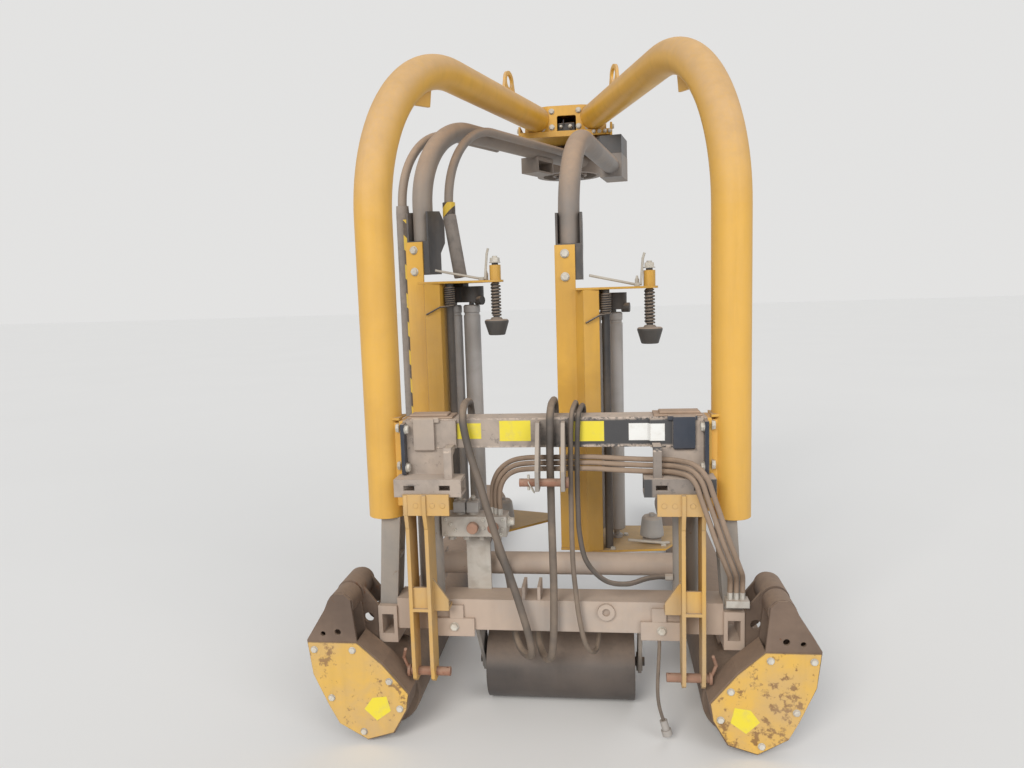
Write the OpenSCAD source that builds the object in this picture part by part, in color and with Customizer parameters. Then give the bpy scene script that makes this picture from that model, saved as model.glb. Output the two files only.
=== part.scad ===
// Round bale wrapper with two satellite film arms, carried on a three point hitch.
// Millimetres. X to the machine's right seen from the hitch, Y to its rear, Z up.
// The origin is on the ground at the middle of the bounding box.

/* [Arch] */
// Outer diameter of the arch tube
arch_d = 120; // [100:1:140]
// Wall of the arch tube
arch_wall = 8; // [5:1:12]
// Distance of each upright from the middle plane
arch_x = 550; // [540:1:580]
// Height of the uprights' lower ends
arch_foot_z = 700; // [680:1:715]
// Height of the level runs' centre line
arch_top_z = 2220; // [2220:1:2300]
// Bend radius of the arch tube
arch_bend_r = 570; // [450:5:650]
// Distance from the uprights back to the turning axis
hub_reach = 1780; // [1740:5:1850]
// Distance from the turning axis to the tubes' inner ends
arch_end_gap = 440; // [420:1:470]
// Height of a lifting eye
eye_h = 90; // [70:1:110]
// Length of a lifting eye's foot
eye_w = 118; // [110:1:150]
// Crown radius of a lifting eye
eye_crown = 44; // [40:1:50]
// Hole of a lifting eye
eye_hole = 56; // [40:1:64]
// Distance from the turning axis to the lifting eyes
eye_reach = 770; // [720:5:850]

/* [Hub] */
// Thickness of the hub's plates
hub_t = 12; // [8:1:16]
// Half width of the hub's front panel
hub_front_w = 78; // [70:1:90]
// Half width of the hub plate
hub_plate_w = 220; // [200:1:240]
// Depth of the hub plate behind the turning axis
hub_plate_back = 240; // [200:1:280]
// Outer diameter of the slew gear
gear_d = 300; // [260:1:330]
// Teeth of the slew gear
gear_teeth = 36; // [24:1:48]
// Depth of the slew gear
gear_h = 31; // [24:1:31]
// Diameter of the rotor spindle
spindle_d = 120; // [100:1:130]
// Radial running clearance of the spindle
spindle_gap = 0.05; // [0.02:0.01:0.1]
// Diameter of the rotor's flange disc
disc_d = 360; // [330:1:380]
// Outer diameter of the folding arm's hub ring
ring_d = 340; // [320:1:350]

/* [Film arms] */
// Diameter of an arm tube
arm_d = 76; // [70:1:80]
// Wall of an arm tube
arm_wall = 6; // [4:1:8]
// Bend radius of an arm tube
arm_bend_r = 310; // [280:5:340]
// Height of the right arm's centre line
arm_z_right = 1980; // [1975:1:1985]
// Height of the left arm's centre line
arm_z_left = 2060; // [2058:1:2061]
// Reach of the right arm from the turning axis
arm_reach_right = 1398; // [1370:1:1410]
// Reach of the left arm from the turning axis
arm_reach_left = 1366; // [1350:1:1390]
// Sideways offset of the right arm from the turning axis
arm_off_right = 295; // [285:1:305]
// Sideways offset of the left arm from the turning axis
arm_off_left = 112; // [105:1:120]
// Angle of the right arm as parked
arm_angle_right = -9.9; // [-14:0.1:-6]
// Angle of the left arm as parked
arm_angle_left = -26.4; // [-30:0.1:-24]
// Twist of a film dispenser on its arm
mast_turn = 9.6; // [6:0.1:12]
// Lift of the left film dispenser
left_lift = 40; // [30:1:50]
// Diameter of a safety bar
bar_d = 34; // [28:1:40]
// Sideways distance of a safety bar from its arm tube
bar_off = 100; // [95:1:120]
// Sideways distance of the inner safety bar from its arm tube
bar_off_in = 79; // [76:1:90]
// Distance of the inner bar's leg behind the outer bar's
bar_leg_in = 60; // [50:1:70]

/* [Film dispensers] */
// Sheet thickness of a mast
mast_t = 6; // [4:1:8]
// Height of a mast's lower end on the right
mast_foot_z = 480; // [475:1:500]
// Height of a mast's upper end
mast_top_z = 1570; // [1560:1:1600]
// Height of the top plate's underside
top_plate_z = 1412; // [1400:1:1420]
// Thickness of the top plate
plate_t = 8; // [6:1:12]
// Height of the clamp
clamp_h = 230; // [200:1:250]
// Lower end of the clamp
clamp_z = 1450; // [1440:1:1460]
// Wall of the clamp channel
clamp_t = 8; // [6:1:10]
// Sideways place of the film roll's axis
core_x = 293; // [280:1:300]
// Depth place of the film roll's axis
core_y = 85; // [70:1:100]
// Diameter of the cone rod
core_rod_d = 24; // [18:1:26]
// Large diameter of the upper cone
cone_d = 90; // [80:1:110]
// Small diameter of the upper cone
cone_tip_d = 62; // [50:1:70]
// Depth of the upper cone
cone_h = 58; // [45:1:70]
// Lowest point of the upper cone
cone_z = 1216; // [1200:1:1240]
// Depth of the lower cone with its bearing
foot_cone_h = 95; // [80:1:110]
// Diameter of the light stretch roller
stretch_d = 64; // [60:1:66]
// Diameter of the dark stretch roller
stretch_d2 = 56; // [50:1:60]
// Diameter of the pivot shaft beside the rollers
shaft_d = 28; // [24:1:30]
// Lower end of the stretch rollers
stretch_z = 520; // [510:1:540]
// Length of the stretch rollers
stretch_h = 810; // [760:5:812]
// Height of the roller gear housing
drive_h = 60; // [50:1:65]

/* [Headstock] */
// Depth of the upper beam
beam_deep = 90; // [80:1:100]
// Height of the upper beam
beam_h = 93; // [80:1:100]
// Height of the upper beam's underside
beam_z = 930; // [920:1:940]
// Wall of the upper beam
beam_wall = 8; // [6:1:10]
// Thickness of an end plate
end_plate_t = 12; // [8:1:14]
// Distance of the bolted joint from the middle plane
joint_x = 472; // [465:1:476]
// Thickness of the headstock's plates
rib_t = 12; // [8:1:15]
// Inner rib of a hitch bracket
rib_x1 = 385; // [380:1:390]
// Outer rib of a hitch bracket
rib_x2 = 444; // [438:1:450]
// Height of the lower hitch pins
lower_pin_z = 212; // [205:1:225]
// Diameter of the lower hitch pins
lower_pin_d = 28; // [22:0.1:30]
// Height of the top link pin
top_pin_z = 835; // [825:1:850]
// Diameter of the top link pin
top_pin_d = 25; // [19:0.1:26]
// Free inner end of a lower hitch pin
pin_free = 45; // [30:1:60]
// Radial clearance of the hitch pins
pin_gap = 0.1; // [0.05:0.01:0.3]
// Depth place of all hitch pins in front of the uprights
pin_y = 102; // [98:1:110]

/* [Lower frame] */
// Side of the lower beam
low_beam = 102; // [95:1:110]
// Height of the lower beam's underside
low_beam_z = 330; // [325:1:340]
// Half length of the lower beam
low_beam_x = 520; // [515:1:525]
// Diameter of the round posts
post_d = 80; // [70:1:84]
// Distance of the posts from the middle plane
post_x = 410; // [408:1:420]
// Diameter of the cross tube
cross_d = 75; // [65:1:80]
// Depth place of the cross tube
cross_y = 120; // [116:1:122]
// Height of the cross tube
cross_z = 495; // [485:1:500]

/* [Roller arms] */
// Distance of the swing pivots from the middle plane
pivot_x = 673; // [668:1:680]
// Height of the swing pivots
pivot_z = 450; // [448:1:455]
// Diameter of the pivot pin
pivot_d = 50; // [40:1:54]
// Radial running clearance of the pivot pin
pivot_gap = 0.05; // [0.02:0.01:0.1]
// Length of the pivot sleeve
sleeve_l = 120; // [100:1:124]
// Depth of a roller arm case
case_deep = 100; // [90:1:105]
// Plate thickness of a roller arm case
case_t = 10; // [8:1:12]
// Distance from the uprights forward to the cases' fronts
case_front = 170; // [165:1:175]
// Thickness of a case's cover plate
cover_t = 5; // [3:1:8]
// Diameter of the bale rollers
roller_d = 230; // [210:1:231]
// Inward offset of a bale roller from its pivot
roller_in = 105; // [95:1:115]
// Drop of a bale roller below its pivot
roller_drop = 335; // [330:1:340]
// Length of a bale roller's drum
roller_l = 2440; // [2300:5:2500]
// Length of the drum's tapered rear end
roller_taper = 160; // [120:1:200]
// Diameter at the drum's rear end
roller_tip_d = 120; // [90:1:150]
// Wall of the bale rollers and of the ground roller
drum_wall = 8; // [5:1:12]
// Diameter of a bale roller's stub shaft
stub_d = 45; // [40:1:50]

/* [Ground roller] */
// Diameter of the ground roller
ground_d = 250; // [240:1:252]
// Half length of the ground roller
ground_x = 250; // [240:1:256]
// Depth place of the ground roller's axis
ground_y = 170; // [165:1:180]
// Height of the ground roller's axis
ground_z = 126; // [126:1:130]
// Diameter of the ground roller's axle
axle_d = 30; // [25:1:35]
// Distance of the struts from the middle plane
strut_x = 262; // [260:1:270]

/* [Hoses] */
// Diameter of the large hoses
hose_d = 24; // [20:1:26]
// Diameter of the thin hoses
thin_d = 16; // [12:1:18]
// Diameter of the hanging cable
cable_d = 11; // [8:1:12]

/* [Hidden] */
$fn = 64;

// Gap between a case's back and its roller's drum
stub_gap = 10;
// Half of the machine's length puts the uprights' plane here
arch_y = case_front + cover_t - (cover_t + case_deep + stub_gap + roller_l) / 2;
hub_y = arch_y + hub_reach;
run_angle = atan2(hub_reach, arch_x);
run_length = sqrt(pow(hub_reach, 2) + pow(arch_x, 2)) - arch_end_gap;
bend_z = arch_top_z - arch_bend_r;
case_back = case_front - case_deep;

// Heights of the hub's stack, from the arch downwards
hub_plate_z = arch_top_z - arch_d / 2 - hub_t - 1;
gear_z = hub_plate_z - gear_h;
disc_t = 12;
disc_z = gear_z - 1 - disc_t;
spindle_foot = 1998;
ring_z = 2012;
ring_h = 56;

// Film arm frames: a mast hangs off its arm tube by this offset
mast_off = [-15, -53];

// Middle of the beams in depth, forward of the uprights' plane by this much
beam_front = 50;
channel_front = 140;
channel_z = 794;
channel_h = 55;

function polar(r, a) = [r * cos(a), r * sin(a)];
function unit(v) = v / norm(v);

// Left edge of an open path, a distance h beside it with mitred corners
function beside(p, h) = [
  for (i = [0 : len(p) - 1])
    let (last = len(p) - 1,
      a = unit(p[max(i, 1)] - p[max(i, 1) - 1]),
      b = unit(p[min(i, last - 1) + 1] - p[min(i, last - 1)]))
      p[i] + [-a[1] - b[1], a[0] + b[0]] * h / (1 + a * b)
];
function reversed(p) = [for (i = [len(p) - 1 : -1 : 0]) p[i]];

module at_arch() {
  translate([0, arch_y, 0]) children();
}

module on_side(side) {
  if (side < 0) mirror([1, 0, 0]) children();
  else children();
}

// Box between two corners
module block(a, b) {
  translate(a) cube([b[0] - a[0], b[1] - a[1], b[2] - a[2]]);
}

// Plate standing in the YZ plane from a profile of [y, z] points
module plate_x(x, t, points) {
  translate([x, 0, 0]) rotate([90, 0, 90]) linear_extrude(height = t) polygon(points);
}

// Plate standing in the XZ plane from a profile of [x, z] points
module plate_y(y, t, points) {
  translate([0, y + t, 0]) rotate([90, 0, 0]) linear_extrude(height = t) polygon(points);
}

// Round rod between two points
module rod(a, b, d) {
  v = b - a;
  translate(a) rotate([0, acos(v[2] / norm(v)), atan2(v[1], v[0])]) cylinder(d = d, h = norm(v));
}

// Bent rod through a few points, with slightly swollen ball corners
module bent_rod(points, d) {
  for (i = [0 : len(points) - 2]) rod(points[i], points[i + 1], d);
  for (i = [1 : len(points) - 2]) translate(points[i]) sphere(d = d + 1, $fn = 24);
}

// Tube swept along a hand-chosen route, for hoses and cables
function catmull(a, b, c, d, t) =
  0.5 * ((2 * b) + (c - a) * t + (2 * a - 5 * b + 4 * c - d) * t * t
  + (3 * b - a - 3 * c + d) * t * t * t);
function smooth(p, n) = [
  for (i = [0 : len(p) - 2]) for (k = [0 : n - 1])
    catmull(p[max(i - 1, 0)], p[i], p[i + 1], p[min(i + 2, len(p) - 1)], k / n),
  p[len(p) - 1]
];
function side_of(t) = unit(cross(t, abs(t[0]) > 0.9 ? [0, 1, 0] : [1, 0, 0]));
function carry(n, t) = unit(n - (n * t) * t);
function tangents(p) = [
  for (i = [0 : len(p) - 1]) unit(p[min(i + 1, len(p) - 1)] - p[max(i - 1, 0)])
];
function square_ends(t, route) = [
  for (i = [0 : len(t) - 1])
    i == 0 ? unit(route[1] - route[0])
    : i == len(t) - 1 ? unit(route[len(route) - 1] - route[len(route) - 2]) : t[i]
];
function normals(t, i = 0, n = undef, out = []) =
  i == len(t) ? out
  : let (m = i == 0 ? side_of(t[0]) : carry(n, t[i])) normals(t, i + 1, m, concat(out, [m]));

module hose(route, d, sides = 10, steps = 2) {
  p = smooth(route, steps);
  t = square_ends(tangents(p), route);
  n = normals(t);
  rings = len(p);
  points = [
    for (i = [0 : rings - 1]) for (k = [0 : sides - 1])
      let (a = 360 * k / sides, b = cross(t[i], n[i]))
        p[i] + d / 2 * (cos(a) * n[i] + sin(a) * b)
  ];
  walls = [
    for (i = [0 : rings - 2]) for (k = [0 : sides - 1])
      [i * sides + k, i * sides + (k + 1) % sides,
       (i + 1) * sides + (k + 1) % sides, (i + 1) * sides + k]
  ];
  start = [[for (k = [sides - 1 : -1 : 0]) k]];
  finish = [[for (k = [0 : sides - 1]) (rings - 1) * sides + k]];
  polyhedron(points = points, faces = concat(start, walls, finish));
}

// One arch leg: upright, bend and level run, in its own plane
module arch_path(d, over) {
  translate([0, 0, arch_foot_z - over]) cylinder(d = d, h = bend_z - arch_foot_z + over);
  translate([arch_bend_r, 0, bend_z]) rotate([90, 0, 0]) rotate([0, 0, 90])
    rotate_extrude(angle = 90) translate([arch_bend_r, 0]) circle(d = d);
  translate([arch_bend_r, 0, arch_top_z]) rotate([0, 90, 0])
    cylinder(d = d, h = run_length - arch_bend_r + over);
}

module lifting_eye() {
  foot = arch_d / 2 - 6;
  hole_z = foot + eye_h - eye_crown;
  rotate([90, 0, 0]) translate([0, 0, -6]) linear_extrude(height = 12) difference() {
    union() {
      polygon([[-eye_w / 2, foot], [eye_w / 2, foot], [eye_crown, hole_z], [-eye_crown, hole_z]]);
      translate([0, hole_z]) circle(r = eye_crown);
    }
    translate([0, hole_z]) circle(d = eye_hole);
  }
}

// Gusset in the inner corner of each bend, with its upper edge in the tube's wall
module bend_lug() {
  inner = arch_bend_r - arch_d / 2 + arch_wall / 2;
  plate_y(-5, 10, concat(
    [for (a = [55 : 7 : 69]) [arch_bend_r - inner * cos(a), bend_z + inner * sin(a)]],
    [[arch_bend_r - 170, bend_z + inner * sin(72)], [arch_bend_r - 184, bend_z + inner * sin(55)],
     [arch_bend_r - inner * cos(53), bend_z + inner * sin(52)]]));
}

module arch_tube(side) {
  flange_z = 729;
  flange_top = 1018;
  color("goldenrod") at_arch() on_side(side) {
    difference() {
      union() {
        translate([arch_x, 0, 0]) rotate([0, 0, 180 - run_angle]) {
          arch_path(arch_d, 0);
          translate([run_length + arch_end_gap - eye_reach, 0, arch_top_z]) lifting_eye();
          bend_lug();
        }
        block([joint_x, -55, flange_z], [joint_x + end_plate_t, 45, flange_top]);
        block([joint_x + end_plate_t, -38, flange_z + 10], [arch_x - arch_d / 2 + 14, 34, flange_top - 8]);
      }
      translate([arch_x, 0, 0]) rotate([0, 0, 180 - run_angle])
        arch_path(arch_d - 2 * arch_wall, 1);
      for (z = [873, 995])
        translate([joint_x - 1, -46, z]) rotate([0, 90, 0]) cylinder(d = 17, h = end_plate_t + 2);
    }
  }
}

// Plan of the hub box round the turning axis, in by a wall
function hub_plan(t) = [
  [-hub_front_w + t / 3, -arch_end_gap - 4 + t], [hub_front_w - t / 3, -arch_end_gap - 4 + t],
  [hub_front_w + 115 - t, -arch_end_gap + 39 + t], [150 - t, 120 - t],
  [-150 + t, 120 - t], [-hub_front_w - 115 + t, -arch_end_gap + 39 + t]
];

module hub_box() {
  base = hub_plate_z + hub_t;
  top = arch_top_z + arch_d / 2 - 5;
  window = [-37, 52];
  window_h = 70;
  color("goldenrod") translate([0, hub_y, 0]) difference() {
    translate([0, 0, base]) linear_extrude(height = top - base) polygon(hub_plan(0));
    translate([0, 0, base - 1]) linear_extrude(height = top - base - hub_t + 1)
      polygon(hub_plan(hub_t - 2));
    block([window[0], -arch_end_gap - 20, base - 1], [window[1], -arch_end_gap + 30, base + window_h - 8]);
    block([window[0] + 8, -arch_end_gap - 20, base], [window[1] - 8, -arch_end_gap + 30, base + window_h]);
    for (x = [window[0] + 8, window[1] - 8])
      translate([x, -arch_end_gap - 20, base + window_h - 8]) rotate([-90, 0, 0]) cylinder(r = 8, h = 50);
    on_arch_ends() cylinder(d = arch_d + 0.4, h = run_length);
  }
}

// Places a cylinder on the axis of each level run, ending at the tube's inner end
module on_arch_ends() {
  for (side = [-1, 1]) on_side(side) rotate([0, 0, 180 - run_angle]) translate([-arch_end_gap, 0, arch_top_z])
    rotate([0, -90, 0]) children();
}

module hub_plate() {
  color("goldenrod") translate([0, hub_y, 0]) {
    difference() {
      translate([0, 0, hub_plate_z]) linear_extrude(height = hub_t) polygon([
        [-hub_plate_w, -arch_end_gap], [hub_plate_w, -arch_end_gap], [hub_plate_w, 90],
        [130, hub_plate_back], [-130, hub_plate_back], [-hub_plate_w, 90]]);
      for (s = [-1, 1]) translate([s * 185, 60, hub_plate_z - 1]) cylinder(d = 18, h = hub_t + 2);
    }
    for (s = [-1, 1]) on_side(s) difference() {
      block([hub_plate_w - 10, -arch_end_gap - 10, hub_plate_z - 22],
        [hub_plate_w, -arch_end_gap + 150, hub_plate_z + 40]);
      translate([hub_plate_w - 11, -arch_end_gap + 25, hub_plate_z + 26]) rotate([0, 90, 0])
        cylinder(d = 14, h = 12);
    }
    block([-hub_plate_w, -arch_end_gap - 10, hub_plate_z - 14], [hub_plate_w, -arch_end_gap, hub_plate_z + hub_t]);
  }
}

module slew_gear() {
  root_r = gear_d / 2 - 9;
  pitch = 360 / gear_teeth;
  color("saddlebrown") translate([0, hub_y, gear_z]) difference() {
    linear_extrude(height = gear_h) polygon([
      for (i = [0 : gear_teeth - 1]) each [
        polar(root_r, pitch * i), polar(root_r, pitch * (i + 0.42)),
        polar(gear_d / 2, pitch * (i + 0.55)), polar(gear_d / 2, pitch * (i + 0.85))]]);
    translate([0, 0, -1]) cylinder(d = spindle_d + 2 * spindle_gap, h = gear_h + 2, $fn = 128);
  }
}

module upper_beam() {
  top = beam_z + beam_h;
  color("dimgray") at_arch() {
    difference() {
      block([-joint_x + end_plate_t, -beam_front, beam_z], [joint_x - end_plate_t, beam_deep - beam_front, top]);
      block([-joint_x, -beam_front + beam_wall, beam_z + beam_wall],
        [joint_x, beam_deep - beam_front - beam_wall, top - beam_wall]);
    }
    for (side = [-1, 1]) on_side(side) {
      difference() {
        block([joint_x - end_plate_t, -55, beam_z - 81], [joint_x, 45, top - 5]);
        for (z = [873, 995])
          translate([joint_x - end_plate_t - 1, -46, z]) rotate([0, 90, 0]) cylinder(d = 17, h = end_plate_t + 2);
      }
      plate_y(-beam_front - 10, 10, [[300, top - 5], [joint_x - end_plate_t, top - 5],
        [joint_x - end_plate_t, channel_z + 20], [345, channel_z + 20], [300, beam_z + 20]]);
      carriage_channel();
    }
  }
}

// Channel under each end of the beam that carries a hitch bracket
module carriage_channel() {
  front = -channel_front;
  back = -60;
  inner = 276;
  outer = 487;
  difference() {
    block([inner, front, channel_z], [outer, back, channel_z + channel_h]);
    block([inner - 1, front + 10, channel_z + 10], [outer + 1, back - 10, channel_z + channel_h - 10]);
    for (x = [inner + 35, outer - 65])
      block([x, front - 1, channel_z + 20], [x + 34, front + 11, channel_z + 36]);
  }
  block([305, -125, channel_z + channel_h], [330, -100, beam_z + 14]);
  block([305, -125, beam_z + 2], [330, -beam_front - 10, beam_z + 14]);
}

module top_link_bracket() {
  color("dimgray") at_arch() difference() {
    for (x = [-48, 30]) plate_x(x, rib_t, [[-beam_front, 1013], [-beam_front - 34, 1013],
      [-pin_y - 52, top_pin_z + 40], [-pin_y - 52, top_pin_z - 20], [-pin_y - 34, 812],
      [-pin_y + 4, 812], [-beam_front, beam_z + 4]]);
    translate([-60, -pin_y - 18, top_pin_z]) rotate([0, 90, 0])
      cylinder(d = top_pin_d + 2 * pin_gap, h = 120);
  }
}

// Hitch pin along X with a drilled end and a head
module hitch_pin(d, length, head) {
  rotate([0, 90, 0]) difference() {
    union() {
      cylinder(d = d, h = length);
      translate([0, 0, length - head]) cylinder(d = d + 10, h = head);
    }
    translate([-d, 0, 9]) rotate([0, 90, 0]) cylinder(d = 9, h = 2 * d);
  }
}

module top_link_pin() {
  color("sienna") at_arch() translate([-98, -pin_y - 18, top_pin_z]) hitch_pin(top_pin_d, 150, 9);
}

// Side view of a hitch bracket's rib as [y, z] points
rib_front = -channel_front;
rib_back = -44;
function rib_profile() = [
  [rib_front, channel_z], [rib_back, channel_z], [rib_back, 470], [rib_back - 20, 400],
  [rib_back - 24, lower_pin_z + 40], [rib_back - 30, lower_pin_z - 16], [rib_back - 42, lower_pin_z - 25],
  [rib_front + 22, lower_pin_z - 25], [rib_front + 6, lower_pin_z - 12], [rib_front, lower_pin_z + 30]
];

module hitch_bracket(side) {
  color("goldenrod") at_arch() on_side(side) {
    difference() {
      for (x = [rib_x1, rib_x2]) plate_x(x, rib_t, rib_profile());
      translate([rib_x1 - 10, -pin_y, lower_pin_z]) rotate([0, 90, 0])
        cylinder(d = lower_pin_d + 2 * pin_gap, h = rib_x2 - rib_x1 + 40);
    }
    difference() {
      block([314, rib_front - 10, 738], [rib_x2 + rib_t + 2, rib_front, channel_z + 11]);
      for (x = [334, 366, 418]) translate([x, rib_front - 11, 770]) rotate([-90, 0, 0]) cylinder(d = 14, h = 12);
    }
    block([rib_x1 + rib_t, rib_front + 10, 434], [rib_x2, rib_front + 20, 500]);
    block([rib_x1 + rib_t, rib_front, 424], [rib_x2, rib_back - 20, 434]);
    plate_y(rib_front + 34, 10, [[rib_x1, 520], [rib_x1, 425], [rib_x1 - 48, 425], [rib_x1 - 48, 452]]);
    block([rib_x1 - 48, rib_back - 62, 415], [rib_x1, -low_beam / 2, 425]);
  }
}

module lower_pin(side) {
  out = rib_x2 + rib_t + 22 - rib_x1 + pin_free;
  color("sienna") at_arch() on_side(side)
    translate([rib_x1 - pin_free, -pin_y, lower_pin_z]) {
      hitch_pin(lower_pin_d, out, 9);
      bent_rod([[out - 4, 0, 0], [out + 12, -6, 46], [out, -26, 84]], 10);
    }
}

module lower_beam() {
  top = low_beam_z + low_beam;
  half = low_beam / 2;
  color("rosybrown") at_arch() {
    difference() {
      block([-low_beam_x, -half, low_beam_z], [low_beam_x, half, top]);
      block([-low_beam_x - 1, -half + 8, low_beam_z + 8], [low_beam_x + 1, half - 8, top - 8]);
    }
    for (side = [-1, 1]) on_side(side) {
      difference() {
        block([low_beam_x, -60, 285], [low_beam_x + 63, 60, 408]);
        block([low_beam_x + 12, -61, 315], [low_beam_x + 50, 61, 380]);
      }
      block([265, -half - 12, 312], [390, -half, 372]);
      block([300, -half - 10, 372], [345, -half, 415]);
    }
    for (x = [-110, -60]) block([x, -half + 4, top], [x + 10, half - 10, top + 42]);
    translate([158, -half - 12, 400]) rotate([-90, 0, 0]) difference() {
      cylinder(d = 54, h = 12);
      translate([0, 0, -1]) cylinder(d = 24, h = 14);
    }
  }
}

// Round post, and the tapered plates that carry the arch's foot
module side_post(side) {
  foot = low_beam_z + low_beam;
  color("gray") at_arch() on_side(side) {
    translate([post_x, 0, foot]) cylinder(d = post_d, h = beam_z - foot);
    for (y = [-38, 28]) plate_y(y, 10, [[500, arch_foot_z], [562, arch_foot_z], [low_beam_x + 60, 408],
      [low_beam_x + 2, 408]]);
    block([508, -28, 560], [556, 28, 570]);
  }
}

// Frame end that carries the swing pivot's sleeve
module outrigger(side) {
  inner = low_beam_x + 63;
  color("saddlebrown") at_arch() on_side(side) difference() {
    union() {
      for (y = [-sleeve_l / 2 + 6, sleeve_l / 2 - 18]) plate_y(y, 12, [[inner, 285], [inner + 60, 330],
        [pivot_x + 20, pivot_z - 44], [pivot_x + 20, pivot_z], [pivot_x - 10, pivot_z + 43],
        [pivot_x - 40, pivot_z + 22], [inner, 408]]);
      block([inner, -sleeve_l / 2 + 10, 330], [inner + 12, sleeve_l / 2 - 10, 404]);
      translate([pivot_x, -sleeve_l / 2, pivot_z]) rotate([-90, 0, 0]) cylinder(d = 90, h = sleeve_l);
    }
    translate([pivot_x, -sleeve_l / 2 - 1, pivot_z]) rotate([-90, 0, 0])
      cylinder(d = pivot_d + 2 * pivot_gap, h = sleeve_l + 2, $fn = 96);
    translate([inner + 34, -sleeve_l / 2 - 1, 366]) rotate([-90, 0, 0]) cylinder(d = 32, h = sleeve_l + 2);
  }
}

module cross_tube() {
  half = post_x - 22;
  foot = low_beam_z + low_beam;
  color("rosybrown") at_arch() {
    difference() {
      translate([-half, cross_y, cross_z]) rotate([0, 90, 0]) cylinder(d = cross_d, h = 2 * half);
      translate([-half - 1, cross_y, cross_z]) rotate([0, 90, 0]) cylinder(d = cross_d - 12, h = 2 * half + 2);
    }
    for (side = [-1, 1]) on_side(side) plate_x(half, 12, [[42, foot], [low_beam / 2, foot],
      [cross_y + 40, cross_z - 42], [cross_y + 40, cross_z + 42], [42, cross_z + 42]]);
  }
}

module valve_block() {
  color("silver") at_arch() {
    block([-366, -30, 634], [-155, 48, 700]);
    for (i = [0 : 3]) translate([-340 + i * 50, 8, 614]) cylinder(d = 26, h = 20, $fn = 6);
    for (i = [0 : 1]) translate([-310 + i * 44, 8, 700]) cylinder(d = 36, h = 46);
    for (x = [-262, -196]) translate([x, -52, 668]) rotate([-90, 0, 0]) cylinder(d1 = 34, d2 = 26, h = 22);
    block([-300, 40, low_beam_z + low_beam], [-220, 48, 634]);
  }
}

// Two hangers that hold the ground roller's axle
module roller_struts() {
  color("dimgray") at_arch() difference() {
    for (side = [-1, 1]) on_side(side) {
      plate_x(strut_x, 12, [[low_beam / 2, 340], [low_beam / 2, low_beam_z], [0, low_beam_z], [10, 300],
        [ground_y - 42, ground_z + 8], [ground_y - 26, ground_z - 30], [ground_y + 26, ground_z - 30],
        [ground_y + 44, ground_z + 6], [90, 380], [low_beam / 2, 400]]);
      translate([strut_x - 4, ground_y, ground_z]) rotate([0, 90, 0]) cylinder(d = 62, h = 20);
    }
    translate([-strut_x - 30, ground_y, ground_z]) rotate([0, 90, 0])
      cylinder(d = axle_d + 0.1, h = 2 * strut_x + 60, $fn = 96);
  }
}

module ground_roller() {
  r = ground_d / 2;
  end_in = ground_x - 14;
  color("dimgray") at_arch() translate([0, ground_y, ground_z]) rotate([0, 90, 0]) difference() {
    rotate_extrude($fn = 96) difference() {
      polygon([[0, -strut_x - 24], [axle_d / 2, -strut_x - 24], [axle_d / 2, -end_in], [r - drum_wall, -end_in],
        [r - drum_wall, -ground_x], [r, -ground_x], [r, ground_x], [r - drum_wall, ground_x],
        [r - drum_wall, end_in], [axle_d / 2, end_in], [axle_d / 2, strut_x + 24], [0, strut_x + 24]]);
      translate([axle_d / 2, -end_in + drum_wall])
        square([r - drum_wall - axle_d / 2, 2 * (end_in - drum_wall)]);
    }
    for (a = [0, 180]) rotate([0, 0, a]) translate([r / 2, 0, -ground_x]) cylinder(d = 24, h = 40);
  }
}

// Case outline round the swing pivot, x inward and z upward
function case_outline() = [
  [-50, -12], [-112, -111], [-98, -225], [-50, -330], [-18, -390], [71, -441], [159, -414],
  [204, -336], [213, -280], [131, -183], [50, -114], [44, -56], [36, 20], [14, 40], [-14, 40], [-36, 20]
];
function cover_outline() = [
  [-108, -118], [-96, -222], [-49, -328], [-18, -386], [71, -436], [156, -410],
  [200, -335], [208, -282], [129, -188], [50, -118]
];

// Frame of a roller arm: x inward from the pivot, y to the rear from the case's front
module at_pivot(side) {
  on_side(side) translate([pivot_x, arch_y - case_front, pivot_z]) mirror([1, 0, 0]) children();
}

module roller_case(side) {
  guard_r = roller_d / 2 + 15;
  color("saddlebrown") at_pivot(side) difference() {
    union() {
      plate_y(0, case_t, case_outline());
      plate_y(case_deep - case_t, case_t, case_outline());
      case_rim();
      translate([0, case_t, 0]) rotate([-90, 0, 0])
        cylinder(d = pivot_d, h = case_front + sleeve_l / 2 + 20 - case_t, $fn = 96);
      translate([0, case_t, 0]) rotate([-90, 0, 0]) cylinder(d = 84, h = case_deep - case_t);
      translate([0, case_front + sleeve_l / 2 + 6, 0]) rotate([-90, 0, 0]) cylinder(d = 78, h = 12);
      block([-26, case_deep, -285], [-6, case_deep + 530, -265]);
      translate([roller_in, case_deep + 150, -roller_drop]) rotate([-90, 0, 0]) rotate([0, 0, -155])
        rotate_extrude(angle = 85) translate([guard_r, 0]) square([6, 370]);
    }
    translate([roller_in, case_deep - case_t - 1, -roller_drop]) rotate([-90, 0, 0])
      cylinder(d = stub_d + 2 * pivot_gap, h = case_t + 2, $fn = 96);
    translate([-58, -1, -90]) rotate([-90, 0, 0]) cylinder(d = 16, h = case_deep + 2);
    translate([-10, -1, -84]) rotate([-90, 0, 0]) cylinder(d = 20, h = case_t + 2);
  }
}

// Side wall that closes the case between its front and back plates
module case_rim() {
  path = [for (i = [0 : 10]) case_outline()[i]];
  plate_y(case_t, case_deep - 2 * case_t, concat(path, reversed(beside(path, case_t))));
}

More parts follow.
